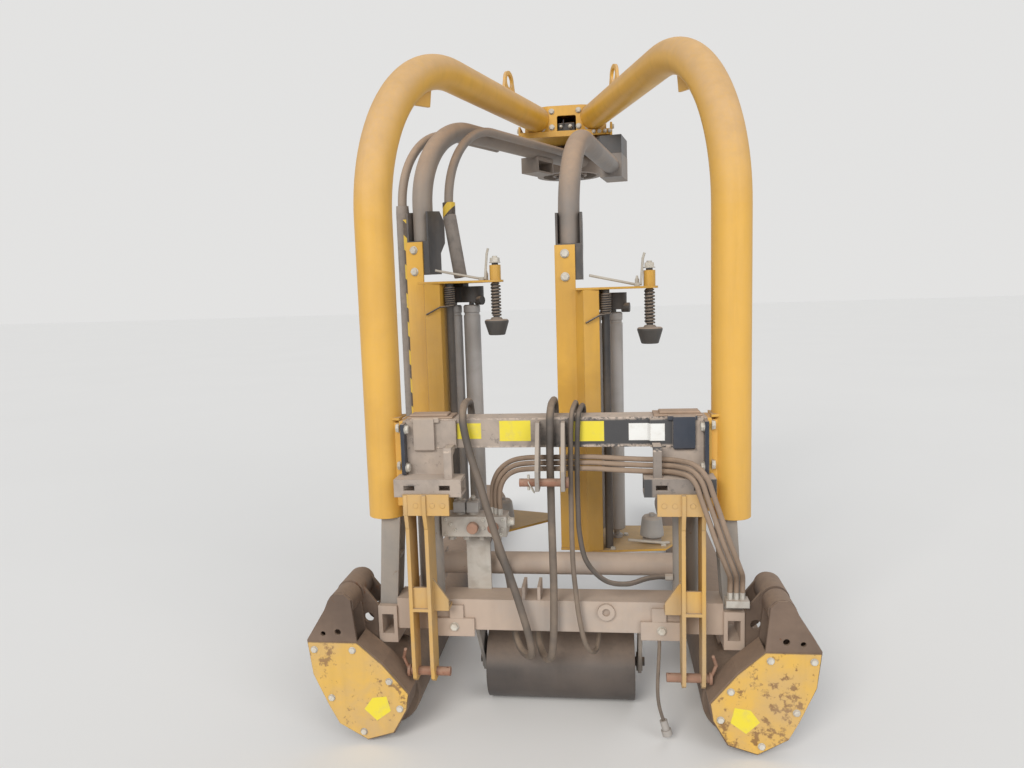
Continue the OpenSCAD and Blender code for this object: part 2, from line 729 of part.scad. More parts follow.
module case_cover(side) {
  t = cover_t;
  color("goldenrod") at_pivot(side) difference() {
    plate_y(-t, t, cover_outline());
    for (p = [[-88, -140], [36, -140], [-40, -300], [150, -240], [60, -410], [180, -330]])
      translate([p[0], -t - 1, p[1]]) rotate([-90, 0, 0]) cylinder(d = 12, h = t + 2);
  }
}

// Long drum with a stub shaft in the case
module bale_roller(side) {
  drum = case_deep + stub_gap;
  straight = roller_l - roller_taper;
  color("dimgray") at_pivot(side) translate([roller_in, 0, -roller_drop]) rotate([-90, 0, 0]) {
    translate([0, 0, case_deep - case_t - 10]) cylinder(d = stub_d, h = case_t + stub_gap + 20, $fn = 96);
    translate([0, 0, drum]) rotate_extrude($fn = 96) polygon([
      [0, 0], [roller_d / 2 - 6, 0], [roller_d / 2, 6], [roller_d / 2, straight],
      [roller_tip_d / 2, roller_l - 8], [roller_tip_d / 2 - 8, roller_l], [20, roller_l],
      [20, roller_l - drum_wall], [roller_tip_d / 2 - 12, roller_l - drum_wall],
      [roller_d / 2 - drum_wall, straight], [roller_d / 2 - drum_wall, 20], [0, 20]]);
  }
}

// Local frame of a film arm: y outward is negative
module at_arm(side) {
  translate([0, hub_y, 0]) rotate([0, 0, side > 0 ? arm_angle_right : arm_angle_left]) children();
}
function arm_off(side) = side > 0 ? arm_off_right : arm_off_left;
function arm_reach(side) = side > 0 ? arm_reach_right : arm_reach_left;
function arm_z(side) = side > 0 ? arm_z_right : arm_z_left;
function lift(side) = side > 0 ? 0 : left_lift;

// Local frame of a film dispenser, at the middle of its mast's front flange
module at_mast(side) {
  at_arm(side) translate([arm_off(side), -arm_reach(side), lift(side)]) rotate([0, 0, mast_turn])
    translate([mast_off[0], mast_off[1], 0]) children();
}

// Level run from the inner end, bend and vertical end of an arm tube
module arm_path(side, inner_y, d, over = 0) {
  z = arm_z(side);
  bend_y = -arm_reach(side) + arm_bend_r;
  foot = clamp_z + lift(side) - over;
  translate([arm_off(side), 0, 0]) {
    translate([0, inner_y, z]) rotate([90, 0, 0]) cylinder(d = d, h = inner_y - bend_y);
    translate([0, bend_y, z - arm_bend_r]) rotate([90, 0, 0]) rotate([0, -90, 0])
      rotate_extrude(angle = 90) translate([arm_bend_r, 0]) circle(d = d);
    translate([0, -arm_reach(side), foot]) cylinder(d = d, h = z - arm_bend_r - foot);
  }
}

module arm_tube_right() {
  inner_y = -283;
  color("gray") at_arm(1) difference() {
    union() {
      arm_path(1, inner_y - 40, arm_d);
      block([arm_off_right - 50, inner_y - 190, arm_z_right - 52], [arm_off_right + 50, inner_y, arm_z_right + 53]);
    }
    arm_path(1, inner_y - 180, arm_d - 2 * arm_wall, 1);
  }
}

module rotor_head() {
  top = hub_plate_z - 3;
  ear_z = arm_z_right + 53;
  color("dimgray") {
    translate([0, hub_y, 0]) {
      translate([0, 0, disc_z]) cylinder(d = disc_d, h = disc_t, $fn = 96);
      translate([0, 0, spindle_foot]) cylinder(d = spindle_d, h = top - spindle_foot, $fn = 128);
      translate([0, 0, spindle_foot]) cylinder(d = 150, h = 12);
    }
    at_arm(1) {
      translate([0, 0, disc_z]) linear_extrude(height = disc_t) polygon([
        [60, -160], [120, 120], [arm_off_right + 50, -290], [arm_off_right + 50, -473],
        [arm_off_right - 50, -473], [40, -165]]);
      for (x = [arm_off_right - 50, arm_off_right + 38])
        block([x, -473, ear_z], [x + 12, -290, disc_z]);
      block([arm_off_right - 50, -473, ear_z], [arm_off_right + 50, -461, disc_z]);
    }
  }
}

module arm_tube_left() {
  color("gray") {
    difference() {
      union() {
        at_arm(-1) difference() {
          arm_path(-1, 60, arm_d);
          arm_path(-1, -ring_d / 2 - 30, arm_d - 2 * arm_wall, 1);
        }
        translate([0, hub_y, ring_z + 2]) cylinder(d = 180, h = disc_z - 5 - ring_z - 2, $fn = 96);
        translate([0, hub_y, ring_z + ring_h - 12]) cylinder(d = ring_d, h = 12, $fn = 96);
        translate([0, hub_y, ring_z]) difference() {
          cylinder(d = ring_d, h = ring_h, $fn = 96);
          translate([0, 0, -1]) cylinder(d = ring_d - 60, h = ring_h - 10, $fn = 96);
        }
      }
      translate([0, hub_y, ring_z - 1]) cylinder(d = spindle_d + 2 * spindle_gap, h = 120, $fn = 128);
    }
    at_arm(-1) difference() {
      block([arm_off_left - 60, -560, arm_z_left - arm_d / 2 - 62], [arm_off_left + 30, -420, arm_z_left - 30]);
      block([arm_off_left - 52, -552, arm_z_left - arm_d / 2 - 54], [arm_off_left + 31, -428, arm_z_left - 48]);
    }
  }
}

// Channel round the arm tube's end with a tapered lobe on each side
module arm_clamp(side) {
  w = arm_d + 16;
  x0 = -mast_off[0] - w / 2;
  y1 = mast_t;
  y2 = -mast_off[1] + arm_d / 2 + clamp_t;
  z0 = clamp_z;
  z1 = clamp_z + clamp_h;
  color("dimgray") at_mast(side) {
    for (x = [x0, x0 + w - clamp_t + 0.3]) plate_x(x, clamp_t - 0.3, [[y1, z0], [y1, z1], [y2, z1 + 8],
      [y2 + 36, z1 - 30], [y2 + 36, z1 - 110], [y2, z1 - 150], [y2, z0]]);
    block([x0, y2 - clamp_t + 0.3, z0], [x0 + w, y2, z1]);
    block([x0, y1, z0], [x0 + w, y1 + 8.5, z0 + 124]);
  }
}

// Folded sheet column: front flange, sloping web, side flange and return
module fold_strip(p, t) {
  polygon(concat(beside(p, t / 2), reversed(beside(p, -t / 2))));
}

module mast(side) {
  h = mast_t / 2;
  a = 36;
  color("goldenrod") at_mast(side) {
    translate([0, 0, mast_foot_z + plate_t]) linear_extrude(height = top_plate_z - mast_foot_z - plate_t)
      fold_strip([[-a + 1, h], [a, h], [64, -42], [113, -22], [113, 50]], mast_t);
    difference() {
      block([-a + 1, 0, top_plate_z], [a, mast_t, mast_top_z]);
      for (z = [mast_top_z - 30, mast_top_z - 110])
        translate([0, -1, z]) rotate([-90, 0, 0]) cylinder(d = 13, h = mast_t + 2);
    }
  }
}

module film_plates(side) {
  cone_seat = 30;
  color("goldenrod") at_mast(side) {
    difference() {
      union() {
        translate([0, 0, top_plate_z]) linear_extrude(height = plate_t) {
          polygon([[36.5, -46], [112, -32], [core_x, core_y - cone_seat], [core_x, core_y + cone_seat],
            [120, 150], [40, 150], [40, 8], [36.5, 8]]);
          translate([core_x, core_y]) circle(r = cone_seat);
        }
        translate([core_x, core_y, top_plate_z]) cylinder(d = core_rod_d + 18, h = 63);
      }
      translate([core_x, core_y, top_plate_z - 1]) cylinder(d = core_rod_d + 0.6, h = 70);
    }
    translate([0, 0, mast_foot_z]) linear_extrude(height = plate_t) polygon([
      [-36, -4], [36, -4], [64, -48], [116, -28], [335, 0], [453, 200], [410, 270], [110, 270], [-36, 110]]);
  }
}

// Half outline of a coil spring round a rod: one ridge for each coil
function coil_outline(r, wire, first, pitch, coils) = [
  for (i = [0 : coils - 1]) each
    [[r, first + pitch * i - wire / 2], [r + wire, first + pitch * i], [r, first + pitch * i + wire / 2]]
];

module film_cones(side) {
  foot = mast_foot_z + plate_t;
  coils = 11;
  first = cone_h + 16;
  pitch = (top_plate_z - 4 - cone_z - first) / (coils - 1);
  rod_r = core_rod_d / 2;
  rod_top = top_plate_z + 70 - cone_z;
  color("dimgray") at_mast(side) translate([core_x, core_y, 0]) {
    translate([0, 0, cone_z]) rotate_extrude() polygon(concat(
      [[0, 4], [cone_tip_d / 2 - 5, 4], [cone_tip_d / 2 - 3, 0], [cone_tip_d / 2, 2],
        [cone_d / 2 - 2, cone_h - 16], [cone_d / 2, cone_h - 10], [cone_d / 2, cone_h - 4],
        [cone_d / 2 - 5, cone_h], [24, cone_h], [18, cone_h + 8], [rod_r, cone_h + 8]],
      coil_outline(rod_r, 6, first, pitch, coils),
      [[rod_r, rod_top], [0, rod_top]]));
    translate([0, 0, foot]) rotate_extrude() polygon([
      [0, 0], [34, 0], [34, 12], [24, 14], [24, 22], [43, 24], [43, 32], [36, foot_cone_h - 8],
      [30, foot_cone_h], [10, foot_cone_h], [10, foot_cone_h + 10], [0, foot_cone_h + 10]]);
  }
}

// Places of the pivot shaft and the two stretch rollers
shaft_at = [138, 10];
light_at = [166, 135];
dark_at = [95, 130];

module stretch_roller(at, d, crown) {
  foot = mast_foot_z + plate_t;
  translate([at[0], at[1], 0]) {
    translate([0, 0, foot]) cylinder(d = 22, h = stretch_z - foot);
    translate([0, 0, foot]) cylinder(d = 44, h = 10);
    translate([0, 0, stretch_z]) rotate_extrude() polygon([
      [0, 0], [d / 2 - crown, 0], [d / 2, crown], [d / 2, stretch_h - 40], [d / 2 - 3, stretch_h - 38],
      [d / 2 - 3, stretch_h - 30], [d / 2, stretch_h - 28], [d / 2, stretch_h - crown],
      [d / 2 - crown, stretch_h], [0, stretch_h]]);
    translate([0, 0, stretch_z + stretch_h]) cylinder(d = 20, h = top_plate_z - 72 - stretch_z - stretch_h);
  }
}

module stretch_rollers(side) {
  color("lightgray") at_mast(side) {
    stretch_roller(light_at, stretch_d, 5);
    stretch_roller(dark_at, stretch_d2, 5);
  }
}

// Pivot shaft with its torsion spring, and the gear housing over the rollers
module roller_drive(side) {
  foot = mast_foot_z + plate_t;
  low = top_plate_z - 12 - drive_h;
  color("black") at_mast(side) {
    translate([shaft_at[0], shaft_at[1], 0]) rotate_extrude() polygon(concat(
      [[0, foot], [shaft_d / 2, foot]], coil_outline(shaft_d / 2, 6, low - 8, 8, 9),
      [[shaft_d / 2, top_plate_z], [0, top_plate_z]]));
    translate([0, 0, low]) linear_extrude(height = drive_h) {
      translate(light_at) circle(r = 48);
      translate(dark_at) circle(r = 40);
      polygon([[95, 170], [66, 158], [72, 96], [104, 84], [140, 90], [190, 100], [176, 182]]);
    }
    translate([0, 0, low + drive_h]) linear_extrude(height = 12) polygon([[80, 100], [150, 100], [150, 146], [80, 146]]);
    translate([light_at[0] + 30, light_at[1] - 16, low + 6]) rotate([0, 90, -12]) cylinder(d = 34, h = 28);
  }
}

// Bent latch rod and grease point on the top plate, and the rod at the foot
module lever(side) {
  z = top_plate_z + plate_t;
  color("lightyellow") at_mast(side) {
    bent_rod([[84, 6, z + 42], [242, 60, z + 7], [262, 62, z + 7], [270, 66, z + 96], [276, 66, z + 116]], 9);
    block([240, 52, z], [258, 70, z + 12]);
    translate([250, 98, z]) cylinder(d = 15, h = 26);
    translate([250, 98, z + 26]) cylinder(d1 = 12, d2 = 6, h = 12);
    bent_rod([[205, 20, mast_foot_z + plate_t + 24], [330, 34, mast_foot_z + plate_t + 10],
      [352, 40, mast_foot_z + plate_t + 10]], 10);
    block([322, 24, mast_foot_z + plate_t], [340, 44, mast_foot_z + plate_t + 8]);
  }
}

// Safety bar beside the left arm: level run, bend and leg
module bar_path(x, z, inner_y, reach, foot, d) {
  bend_y = -reach + arm_bend_r;
  translate([x, 0, 0]) {
    translate([0, inner_y, z]) rotate([90, 0, 0]) cylinder(d = d, h = inner_y - bend_y);
    translate([0, bend_y, z - arm_bend_r]) rotate([90, 0, 0]) rotate([0, -90, 0])
      rotate_extrude(angle = 90) translate([arm_bend_r, 0]) circle(d = d);
    translate([0, -reach, foot]) cylinder(d = d, h = z - arm_bend_r - foot);
  }
}

// Lug that ties a safety bar to its arm tube
module bar_lug(from_x, to_x, y, z) {
  block([min(from_x, to_x), y, z - 6], [max(from_x, to_x), y + 60, z + 6]);
}

module safety_bar_outer() {
  x = arm_off_left - bar_off;
  z = arm_z_left;
  color("gray") at_arm(-1) {
    bar_path(x, z, -700, arm_reach_left, 600, bar_d);
    for (y = [-780, -980]) bar_lug(x, arm_off_left - arm_d / 2 - 0.3, y, z);
    translate([x, -arm_reach_left, 620]) cylinder(d = bar_d + 12, h = 1130);
  }
}

module safety_bar_inner() {
  x = arm_off_left + bar_off_in;
  z = arm_z_left;
  reach = arm_reach_left - bar_leg_in;
  tip = top_plate_z + plate_t + left_lift + 15;
  color("gray") at_arm(-1) {
    bar_path(x, z, -330, reach, 1712, bar_d);
    for (y = [-400, -980]) bar_lug(x, arm_off_left + arm_d / 2 + 0.3, y, z);
    translate([x, -reach, 1710]) cylinder(d = bar_d + 12, h = 45);
    rod([x, -reach, 1712], [x + 38, -reach + 7, tip], bar_d + 14);
  }
}

// Striped warning board with the clips that hold it to the clamp and the mast
module stripe_board() {
  clamp_side = -mast_off[0] - arm_d / 2 - 8;
  color("gold") at_mast(-1) {
    block([-66, 40, 560], [-38, 46, 1660]);
    for (z = [1500, 1620]) block([-39, 40, z], [clamp_side, 46, z + 30]);
    block([-50, mast_t, 700], [-30, 46, 740]);
  }
}

// Routes of the hoses as hand-chosen points in the uprights' frame
left_loop = [[-285, 70, 955], [-285, 95, 955], [-285, 130, 975], [-285, 142, 1008], [-284, 126, 1040],
  [-283, 90, 1058], [-282, 40, 1062], [-280, -10, 1061], [-278, -42, 1053], [-276, -66, 1034],
  [-272, -80, 1000], [-255, -84, 920], [-225, -92, 820], [-180, -100, 660], [-130, -100, 500],
  [-92, -96, 360], [-80, -86, 292], [-84, -60, 252], [-104, -22, 236], [-126, 14, 240],
  [-144, 46, 266], [-152, 62, 310], [-158, 67, 400], [-166, 64, 470], [-178, 48, 520],
  [-188, 20, 560], [-190, 8, 590], [-190, 8, 614]];
centre_loop = [[0, 70, 955], [0, 95, 955], [0, 130, 975], [0, 142, 1008], [0, 126, 1040],
  [0, 90, 1058], [0, 40, 1062], [-1, -10, 1061], [-2, -42, 1053], [-3, -66, 1034],
  [-4, -76, 1000], [-6, -76, 900], [-6, -74, 800], [-6, -74, 700], [-5, -76, 600],
  [-4, -80, 500], [-6, -83, 400], [-9, -84, 320], [-16, -74, 262], [-30, -44, 232],
  [-48, -6, 228], [-64, 32, 248], [-72, 62, 288], [-74, 70, 324], [-74, 70, 350]];
thin_route = [[72, 68, 960], [72, 88, 960], [72, 116, 976], [72, 128, 1004], [72, 116, 1034],
  [71, 86, 1050], [70, 30, 1054], [67, -20, 1050], [64, -48, 1040], [61, -66, 1016],
  [59, -70, 980], [57, -72, 900], [56, -74, 830], [56, -74, 760], [56, -76, 660],
  [58, -78, 560], [64, -78, 480], [72, -78, 400], [88, -78, 316], [108, -54, 268],
  [124, -4, 250], [132, 46, 276], [134, 66, 306], [134, 70, 330], [134, 70, 350]];
dark_route = [[96, 68, 960], [96, 86, 960], [96, 112, 976], [96, 122, 1002], [95, 110, 1028],
  [93, 76, 1042], [90, 20, 1046], [87, -24, 1042], [84, -56, 1034], [81, -68, 1000],
  [79, -70, 960], [77, -68, 890], [76, -68, 820], [77, -70, 740], [80, -72, 660],
  [100, -76, 572], [156, -72, 510], [224, -48, 490], [284, -20, 497], [322, -10, 500],
  [345, -10, 500]];
cable_route = [[322, -57, 312], [322, -59, 290], [318, -72, 236], [314, -84, 160], [318, -90, 110],
  [330, -94, 66]];
bundle_route = [[-176, -10, 722], [-176, -10, 740], [-176, -10, 758], [-172, -13, 790], [-157, -18, 822],
  [-128, -26, 846], [-84, -34, 857], [0, -42, 860], [120, -50, 862], [220, -76, 862], [290, -89, 862],
  [326, -90, 862], [343, -92, 862], [360, -100, 862], [380, -117, 862], [400, -138, 861], [414, -151, 853],
  [427, -159, 834], [438, -160, 800], [456, -160, 746], [484, -155, 662], [510, -136, 594], [526, -106, 553],
  [534, -84, 532], [537, -70, 514], [538, -64, 500], [538, -62, 487], [538, -62, 480], [538, -62, 474]];
bundle_pitch = 18.5;
bundle_turn = 40;
bundle_foot = 22;
bundle_count = 3;

// Route laid beside another one, at a set distance and turn about its path
function beside_route(route, shift, turn) =
  let (t = square_ends(tangents(route), route), n = normals(t))
  [for (i = [0 : len(route) - 1])
    route[i] + shift * (cos(turn) * cross(t[i], n[i]) + sin(turn) * n[i])];
function bundle_path(i) = beside_route(bundle_route, i * bundle_pitch, bundle_turn);

module hose_bundle() {
  color("gray") at_arch() for (i = [0 : bundle_count - 1]) hose(bundle_path(i), thin_d, 8, 1);
}

// End fitting of a hose, a hexagon with a collar
module fitting(at, turn, d, length) {
  translate(at) rotate(turn) {
    cylinder(d = d, h = length, $fn = 6);
    cylinder(d = d * 0.8, h = length);
  }
}

module hose_fittings() {
  back = beam_deep - beam_front;
  color("silver") at_arch() {
    fitting([-285, back, 955], [-90, 0, 0], 30, 30);
    fitting([0, back, 955], [-90, 0, 0], 30, 30);
    fitting([72, back, 960], [-90, 0, 0], 22, 28);
    fitting([96, back, 960], [-90, 0, 0], 22, 28);
    for (x = [-74, 134]) {
      fitting([x, 70, 350], [0, 0, 0], 28, 24);
      block([x - 15, low_beam / 2, 372], [x + 15, 86, 402]);
    }
    fitting([345, -10, 500], [0, 90, 0], 22, 25);
    for (i = [0 : bundle_count - 1]) let (p = bundle_path(i)) for (end = [p[0], p[len(p) - 1]])
      fitting(end - [0, 0, bundle_foot], [0, 0, 0], 17, bundle_foot);
    block([524, -80, 430], [594, -38, 452]);
  }
}

module hose_left_loop() {
  color("gray") at_arch() hose(left_loop, hose_d);
}

module hose_centre_loop() {
  color("gray") at_arch() hose(centre_loop, hose_d);
}

module hose_thin() {
  color("gray") at_arch() hose(thin_route, thin_d);
}

module hose_dark() {
  color("black") at_arch() hose(dark_route, thin_d);
}

module hanging_cable() {
  color("gray") at_arch() hose(cable_route, cable_d, 8);
}

module cable_connector() {
  end = cable_route[len(cable_route) - 1];
  v = unit(end - cable_route[len(cable_route) - 2]);
  color("lightgray") at_arch() translate(end) rotate([0, acos(v[2]), atan2(v[1], v[0])]) {
    cylinder(d = 24, h = 30);
    translate([0, 0, 30]) cylinder(d = 32, h = 18);
  }
}

arch_tube(-1);  // arch_tube_left
arch_tube(1);  // arch_tube_right
hub_box();
hub_plate();
slew_gear();
upper_beam();
top_link_bracket();
top_link_pin();
hitch_bracket(-1);  // hitch_bracket_left
hitch_bracket(1);  // hitch_bracket_right
lower_pin(-1);  // lower_pin_left
lower_pin(1);  // lower_pin_right
lower_beam();
side_post(-1);  // side_post_left
side_post(1);  // side_post_right
outrigger(-1);  // outrigger_left
outrigger(1);  // outrigger_right
cross_tube();
valve_block();
roller_struts();
hose_bundle();
hose_fittings();
hose_left_loop();
hose_centre_loop();
hose_thin();
hose_dark();
hanging_cable();
cable_connector();
rotor_head();
arm_tube_right();
arm_clamp(1);  // arm_clamp_right
mast(1);  // mast_right
film_plates(1);  // film_plates_right
film_cones(1);  // film_cones_right
stretch_rollers(1);  // stretch_rollers_right
roller_drive(1);  // roller_drive_right
lever(1);  // lever_right
arm_tube_left();
arm_clamp(-1);  // arm_clamp_left
mast(-1);  // mast_left
film_plates(-1);  // film_plates_left
film_cones(-1);  // film_cones_left
stretch_rollers(-1);  // stretch_rollers_left
roller_drive(-1);  // roller_drive_left
lever(-1);  // lever_left
safety_bar_outer();
safety_bar_inner();
stripe_board();
roller_case(-1);  // roller_case_left
case_cover(-1);  // case_cover_left
bale_roller(-1);  // bale_roller_left
roller_case(1);  // roller_case_right
case_cover(1);  // case_cover_right
bale_roller(1);  // bale_roller_right
ground_roller();
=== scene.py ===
# Bale wrapper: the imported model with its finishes, hoses, fastenings and small trim.
# Shapes are written in millimetres of the CAD's local frames and placed in metres.
import math

import bmesh
import bpy
from mathutils import Matrix, Vector


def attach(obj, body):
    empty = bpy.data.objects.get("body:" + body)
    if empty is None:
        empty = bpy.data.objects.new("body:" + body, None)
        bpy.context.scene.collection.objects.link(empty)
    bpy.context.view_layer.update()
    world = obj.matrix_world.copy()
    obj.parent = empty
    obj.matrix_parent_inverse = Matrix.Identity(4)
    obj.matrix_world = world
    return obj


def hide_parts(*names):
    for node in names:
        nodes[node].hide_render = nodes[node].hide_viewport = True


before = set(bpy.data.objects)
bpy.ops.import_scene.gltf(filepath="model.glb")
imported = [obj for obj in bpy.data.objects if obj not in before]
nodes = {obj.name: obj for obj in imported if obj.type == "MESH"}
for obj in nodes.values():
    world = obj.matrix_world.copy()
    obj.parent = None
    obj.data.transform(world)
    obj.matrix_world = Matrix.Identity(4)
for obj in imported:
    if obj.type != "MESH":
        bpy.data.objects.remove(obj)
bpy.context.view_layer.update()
scene = bpy.context.scene
scene.view_settings.view_transform = "Standard"

# Places and sizes of the CAD source
MM = 0.001
ARCH_Y = -1102.5  # plane of the two uprights
HUB_REACH = 1780  # from that plane to the rotor's axis
HUB_FRONT = HUB_REACH - 444  # front of the hub box
BEAM_Z = 930  # underside of the upper beam
ARM_ANGLE = {1: -9.9, -1: -26.4}
ARM_OFF = {1: 295, -1: 112}
ARM_REACH = {1: 1398, -1: 1366}
MAST_LIFT = {1: 0, -1: 40}
MAST_TURN = 9.6
MAST_OFF = (-15, -53)
SWING_PIVOT = (673, ARCH_Y - 170, 450)

# Local frames of the CAD source, as matrices from millimetres to metres; side 1 is right, -1 is left
SCALE = Matrix.Diagonal((MM, MM, MM, 1))


def shift(x, y, z=0):
    return Matrix.Translation((x, y, z))


def turn(degrees):
    return Matrix.Rotation(math.radians(degrees), 4, "Z")


def flip():
    return Matrix.Diagonal((-1, 1, 1, 1))


ARCH = SCALE @ shift(0, ARCH_Y)
ARCH_SIDE = {1: ARCH, -1: ARCH @ flip()}
HUB = SCALE @ shift(0, ARCH_Y + HUB_REACH)
ARM = {s: HUB @ turn(ARM_ANGLE[s]) for s in (1, -1)}
MAST = {
    s: ARM[s] @ shift(ARM_OFF[s], -ARM_REACH[s], MAST_LIFT[s]) @ turn(MAST_TURN) @ shift(*MAST_OFF)
    for s in (1, -1)
}
PIVOT = {
    1: SCALE @ shift(*SWING_PIVOT) @ flip(),
    -1: SCALE @ flip() @ shift(*SWING_PIVOT) @ flip(),
}
BODY = {1: "rotor", -1: "folding_arm"}
CASE_BODY = {1: "roller_arm_right", -1: "roller_arm_left"}
SIDE = {1: "right", -1: "left"}


# Camera of the photograph, as solved from it
CAMERA_AT = (0.166, -3.4975, 1.41)
CAMERA_TURN = (6.95, 6.761, -1.796)  # degrees to the left, down and rolled
FOCAL_PIXELS = 767.56
PHOTO_PIXELS = 1024
SENSOR = 36


def look():
    data = bpy.data.cameras.new("camera")
    data.sensor_width = SENSOR
    data.lens = SENSOR * FOCAL_PIXELS / PHOTO_PIXELS
    data.clip_end = 200
    cam = bpy.data.objects.new("camera", data)
    scene.collection.objects.link(cam)
    yaw, pitch, roll = (math.radians(a) for a in CAMERA_TURN)
    ahead = Vector((-math.sin(yaw) * math.cos(pitch), math.cos(yaw) * math.cos(pitch), -math.sin(pitch)))
    right = Vector((math.cos(yaw), math.sin(yaw), 0))
    up = right.cross(ahead)
    x = right * math.cos(roll) + up * math.sin(roll)
    y = up * math.cos(roll) - right * math.sin(roll)
    m = Matrix((x, y, -ahead)).transposed().to_4x4()
    m.translation = CAMERA_AT
    cam.matrix_world = m
    scene.camera = cam


look()


# Materials
class Shade:
    """Node tree of one material, with short calls for the nodes used here."""

    def __init__(self, name, roughness=0.5, specular=0.5):
        self.mat = bpy.data.materials.new(name)
        self.mat.use_nodes = True
        self.tree = self.mat.node_tree
        self.bsdf = self.tree.nodes["Principled BSDF"]
        self.bsdf.inputs["Roughness"].default_value = roughness
        self.bsdf.inputs["Specular IOR Level"].default_value = specular
        self.place = self.node("ShaderNodeTexCoord").outputs["Object"]

    def node(self, kind, **props):
        n = self.tree.nodes.new(kind)
        for k, v in props.items():
            setattr(n, k, v)
        return n

    def put(self, socket, value):
        if isinstance(value, bpy.types.NodeSocket):
            self.tree.links.new(value, socket)
        elif isinstance(value, (tuple, list)) and len(value) == 3 and socket.type == "RGBA":
            socket.default_value = (*value, 1)
        else:
            socket.default_value = value

    def stretched(self, x, y, z):
        n = self.node("ShaderNodeMapping")
        self.put(n.inputs["Vector"], self.place)
        n.inputs["Scale"].default_value = (x, y, z)
        return n.outputs["Vector"]

    def noise(self, scale, detail=4, rough=0.55, place=None, warp=0.0):
        n = self.node("ShaderNodeTexNoise")
        self.put(n.inputs["Vector"], place or self.place)
        n.inputs["Scale"].default_value = scale
        n.inputs["Detail"].default_value = detail
        n.inputs["Roughness"].default_value = rough
        n.inputs["Distortion"].default_value = warp
        return n.outputs["Fac"]

    def step(self, value, low, high):
        n = self.node("ShaderNodeMapRange", interpolation_type="SMOOTHSTEP")
        self.put(n.inputs["Value"], value)
        n.inputs["From Min"].default_value = low
        n.inputs["From Max"].default_value = high
        return n.outputs["Result"]

    def math(self, op, a, b=0.0, clamp=False):
        n = self.node("ShaderNodeMath", operation=op, use_clamp=clamp)
        self.put(n.inputs[0], a)
        self.put(n.inputs[1], b)
        return n.outputs[0]

    def mix(self, fac, a, b):
        n = self.node("ShaderNodeMix", data_type="RGBA")
        self.put(n.inputs[0], fac)
        self.put(n.inputs[6], a)
        self.put(n.inputs[7], b)
        return n.outputs[2]

    def blend(self, fac, a, b):
        n = self.node("ShaderNodeMix", data_type="FLOAT")
        self.put(n.inputs[0], fac)
        self.put(n.inputs[2], a)
        self.put(n.inputs[3], b)
        return n.outputs[0]

    def axis(self, vector, which):
        n = self.node("ShaderNodeSeparateXYZ")
        self.put(n.inputs[0], vector)
        return n.outputs[which]

    def facing_up(self, low, high):
        normal = self.node("ShaderNodeNewGeometry").outputs["Normal"]
        return self.step(self.axis(normal, "Z"), low, high)

    def round_edges(self, radius):
        n = self.node("ShaderNodeBevel", samples=4)
        n.inputs["Radius"].default_value = radius
        return n.outputs["Normal"]

    def edges(self, radius, low=0.02, high=0.2):
        geometry = self.node("ShaderNodeNewGeometry").outputs["Normal"]
        dot = self.node("ShaderNodeVectorMath", operation="DOT_PRODUCT")
        self.put(dot.inputs[0], self.round_edges(radius))
        self.put(dot.inputs[1], geometry)
        return self.step(self.math("SUBTRACT", 1.0, dot.outputs["Value"]), low, high)

    def bump(self, height, strength, distance=0.001, normal=None):
        n = self.node("ShaderNodeBump")
        n.inputs["Strength"].default_value = strength
        n.inputs["Distance"].default_value = distance
        self.put(n.inputs["Height"], height)
        if normal is not None:
            self.put(n.inputs["Normal"], normal)
        self.put(self.bsdf.inputs["Normal"], n.outputs["Normal"])

    def finish(self, colour, roughness=None):
        self.put(self.bsdf.inputs["Base Color"], colour)
        if roughness is not None:
            self.put(self.bsdf.inputs["Roughness"], roughness)
        return self.mat


DUST = (0.50, 0.355, 0.245)
RUST = (0.145, 0.062, 0.028)


def worn(name, base, other, dust=DUST, dust_up=0.85, dust_all=0.25, rust=0.3, wear=0.5,
         rough=0.45, bump=0.25, patch=3.0, lift=0.0, bare=(0.20, 0.15, 0.12)):
    """Old paint: patches of a second tone, streaks, dust above, rust spots, worn edges."""
    s = Shade(name)
    patches = s.step(s.noise(patch, 5, 0.6, warp=0.4), 0.38, 0.66)
    streaks = s.step(s.noise(26, 4, 0.6, s.stretched(1, 1, 0.07)), 0.45, 0.75)
    fine = s.noise(140, 3, 0.6)
    colour = s.mix(patches, base, other)
    colour = s.mix(s.math("MULTIPLY", streaks, 0.25), colour, tuple(c * 0.6 for c in base))
    spots = s.step(s.math("ADD", s.noise(34, 6, 0.65), s.math("MULTIPLY", s.noise(5, 3), 0.45)),
                   0.98 - 0.22 * rust, 1.08 - 0.22 * rust)
    edge = s.math("MULTIPLY", s.edges(0.004), s.step(s.noise(45, 5, 0.7), 0.62 - 0.25 * wear, 0.72))
    colour = s.mix(s.math("MULTIPLY", edge, 0.85 * min(1, 2 * wear)), colour, bare)
    colour = s.mix(s.math("MULTIPLY", spots, 0.8), colour, RUST)
    film = s.step(s.noise(2.2, 5, 0.62, warp=0.6), 0.30, 0.72)
    up = s.math("MULTIPLY", s.facing_up(0.05 - lift, 0.75 - lift), dust_up)
    grain = s.blend(s.step(s.noise(60, 5, 0.7), 0.25, 0.6), 0.72, 1.0)
    cover = s.math("MULTIPLY", s.math("MAXIMUM", up, s.math("MULTIPLY", film, dust_all)), grain, clamp=True)
    colour = s.mix(cover, colour, s.mix(s.noise(18, 4), dust, tuple(c * 0.72 for c in dust)))
    height = s.math("ADD", s.math("MULTIPLY", fine, 0.35), s.math("MULTIPLY", spots, 0.7))
    s.bump(height, bump, 0.0008, s.round_edges(0.003))
    dull = s.math("MAXIMUM", cover, s.math("MAXIMUM", spots, edge))
    return s.finish(colour, s.blend(dull, rough, 0.9))


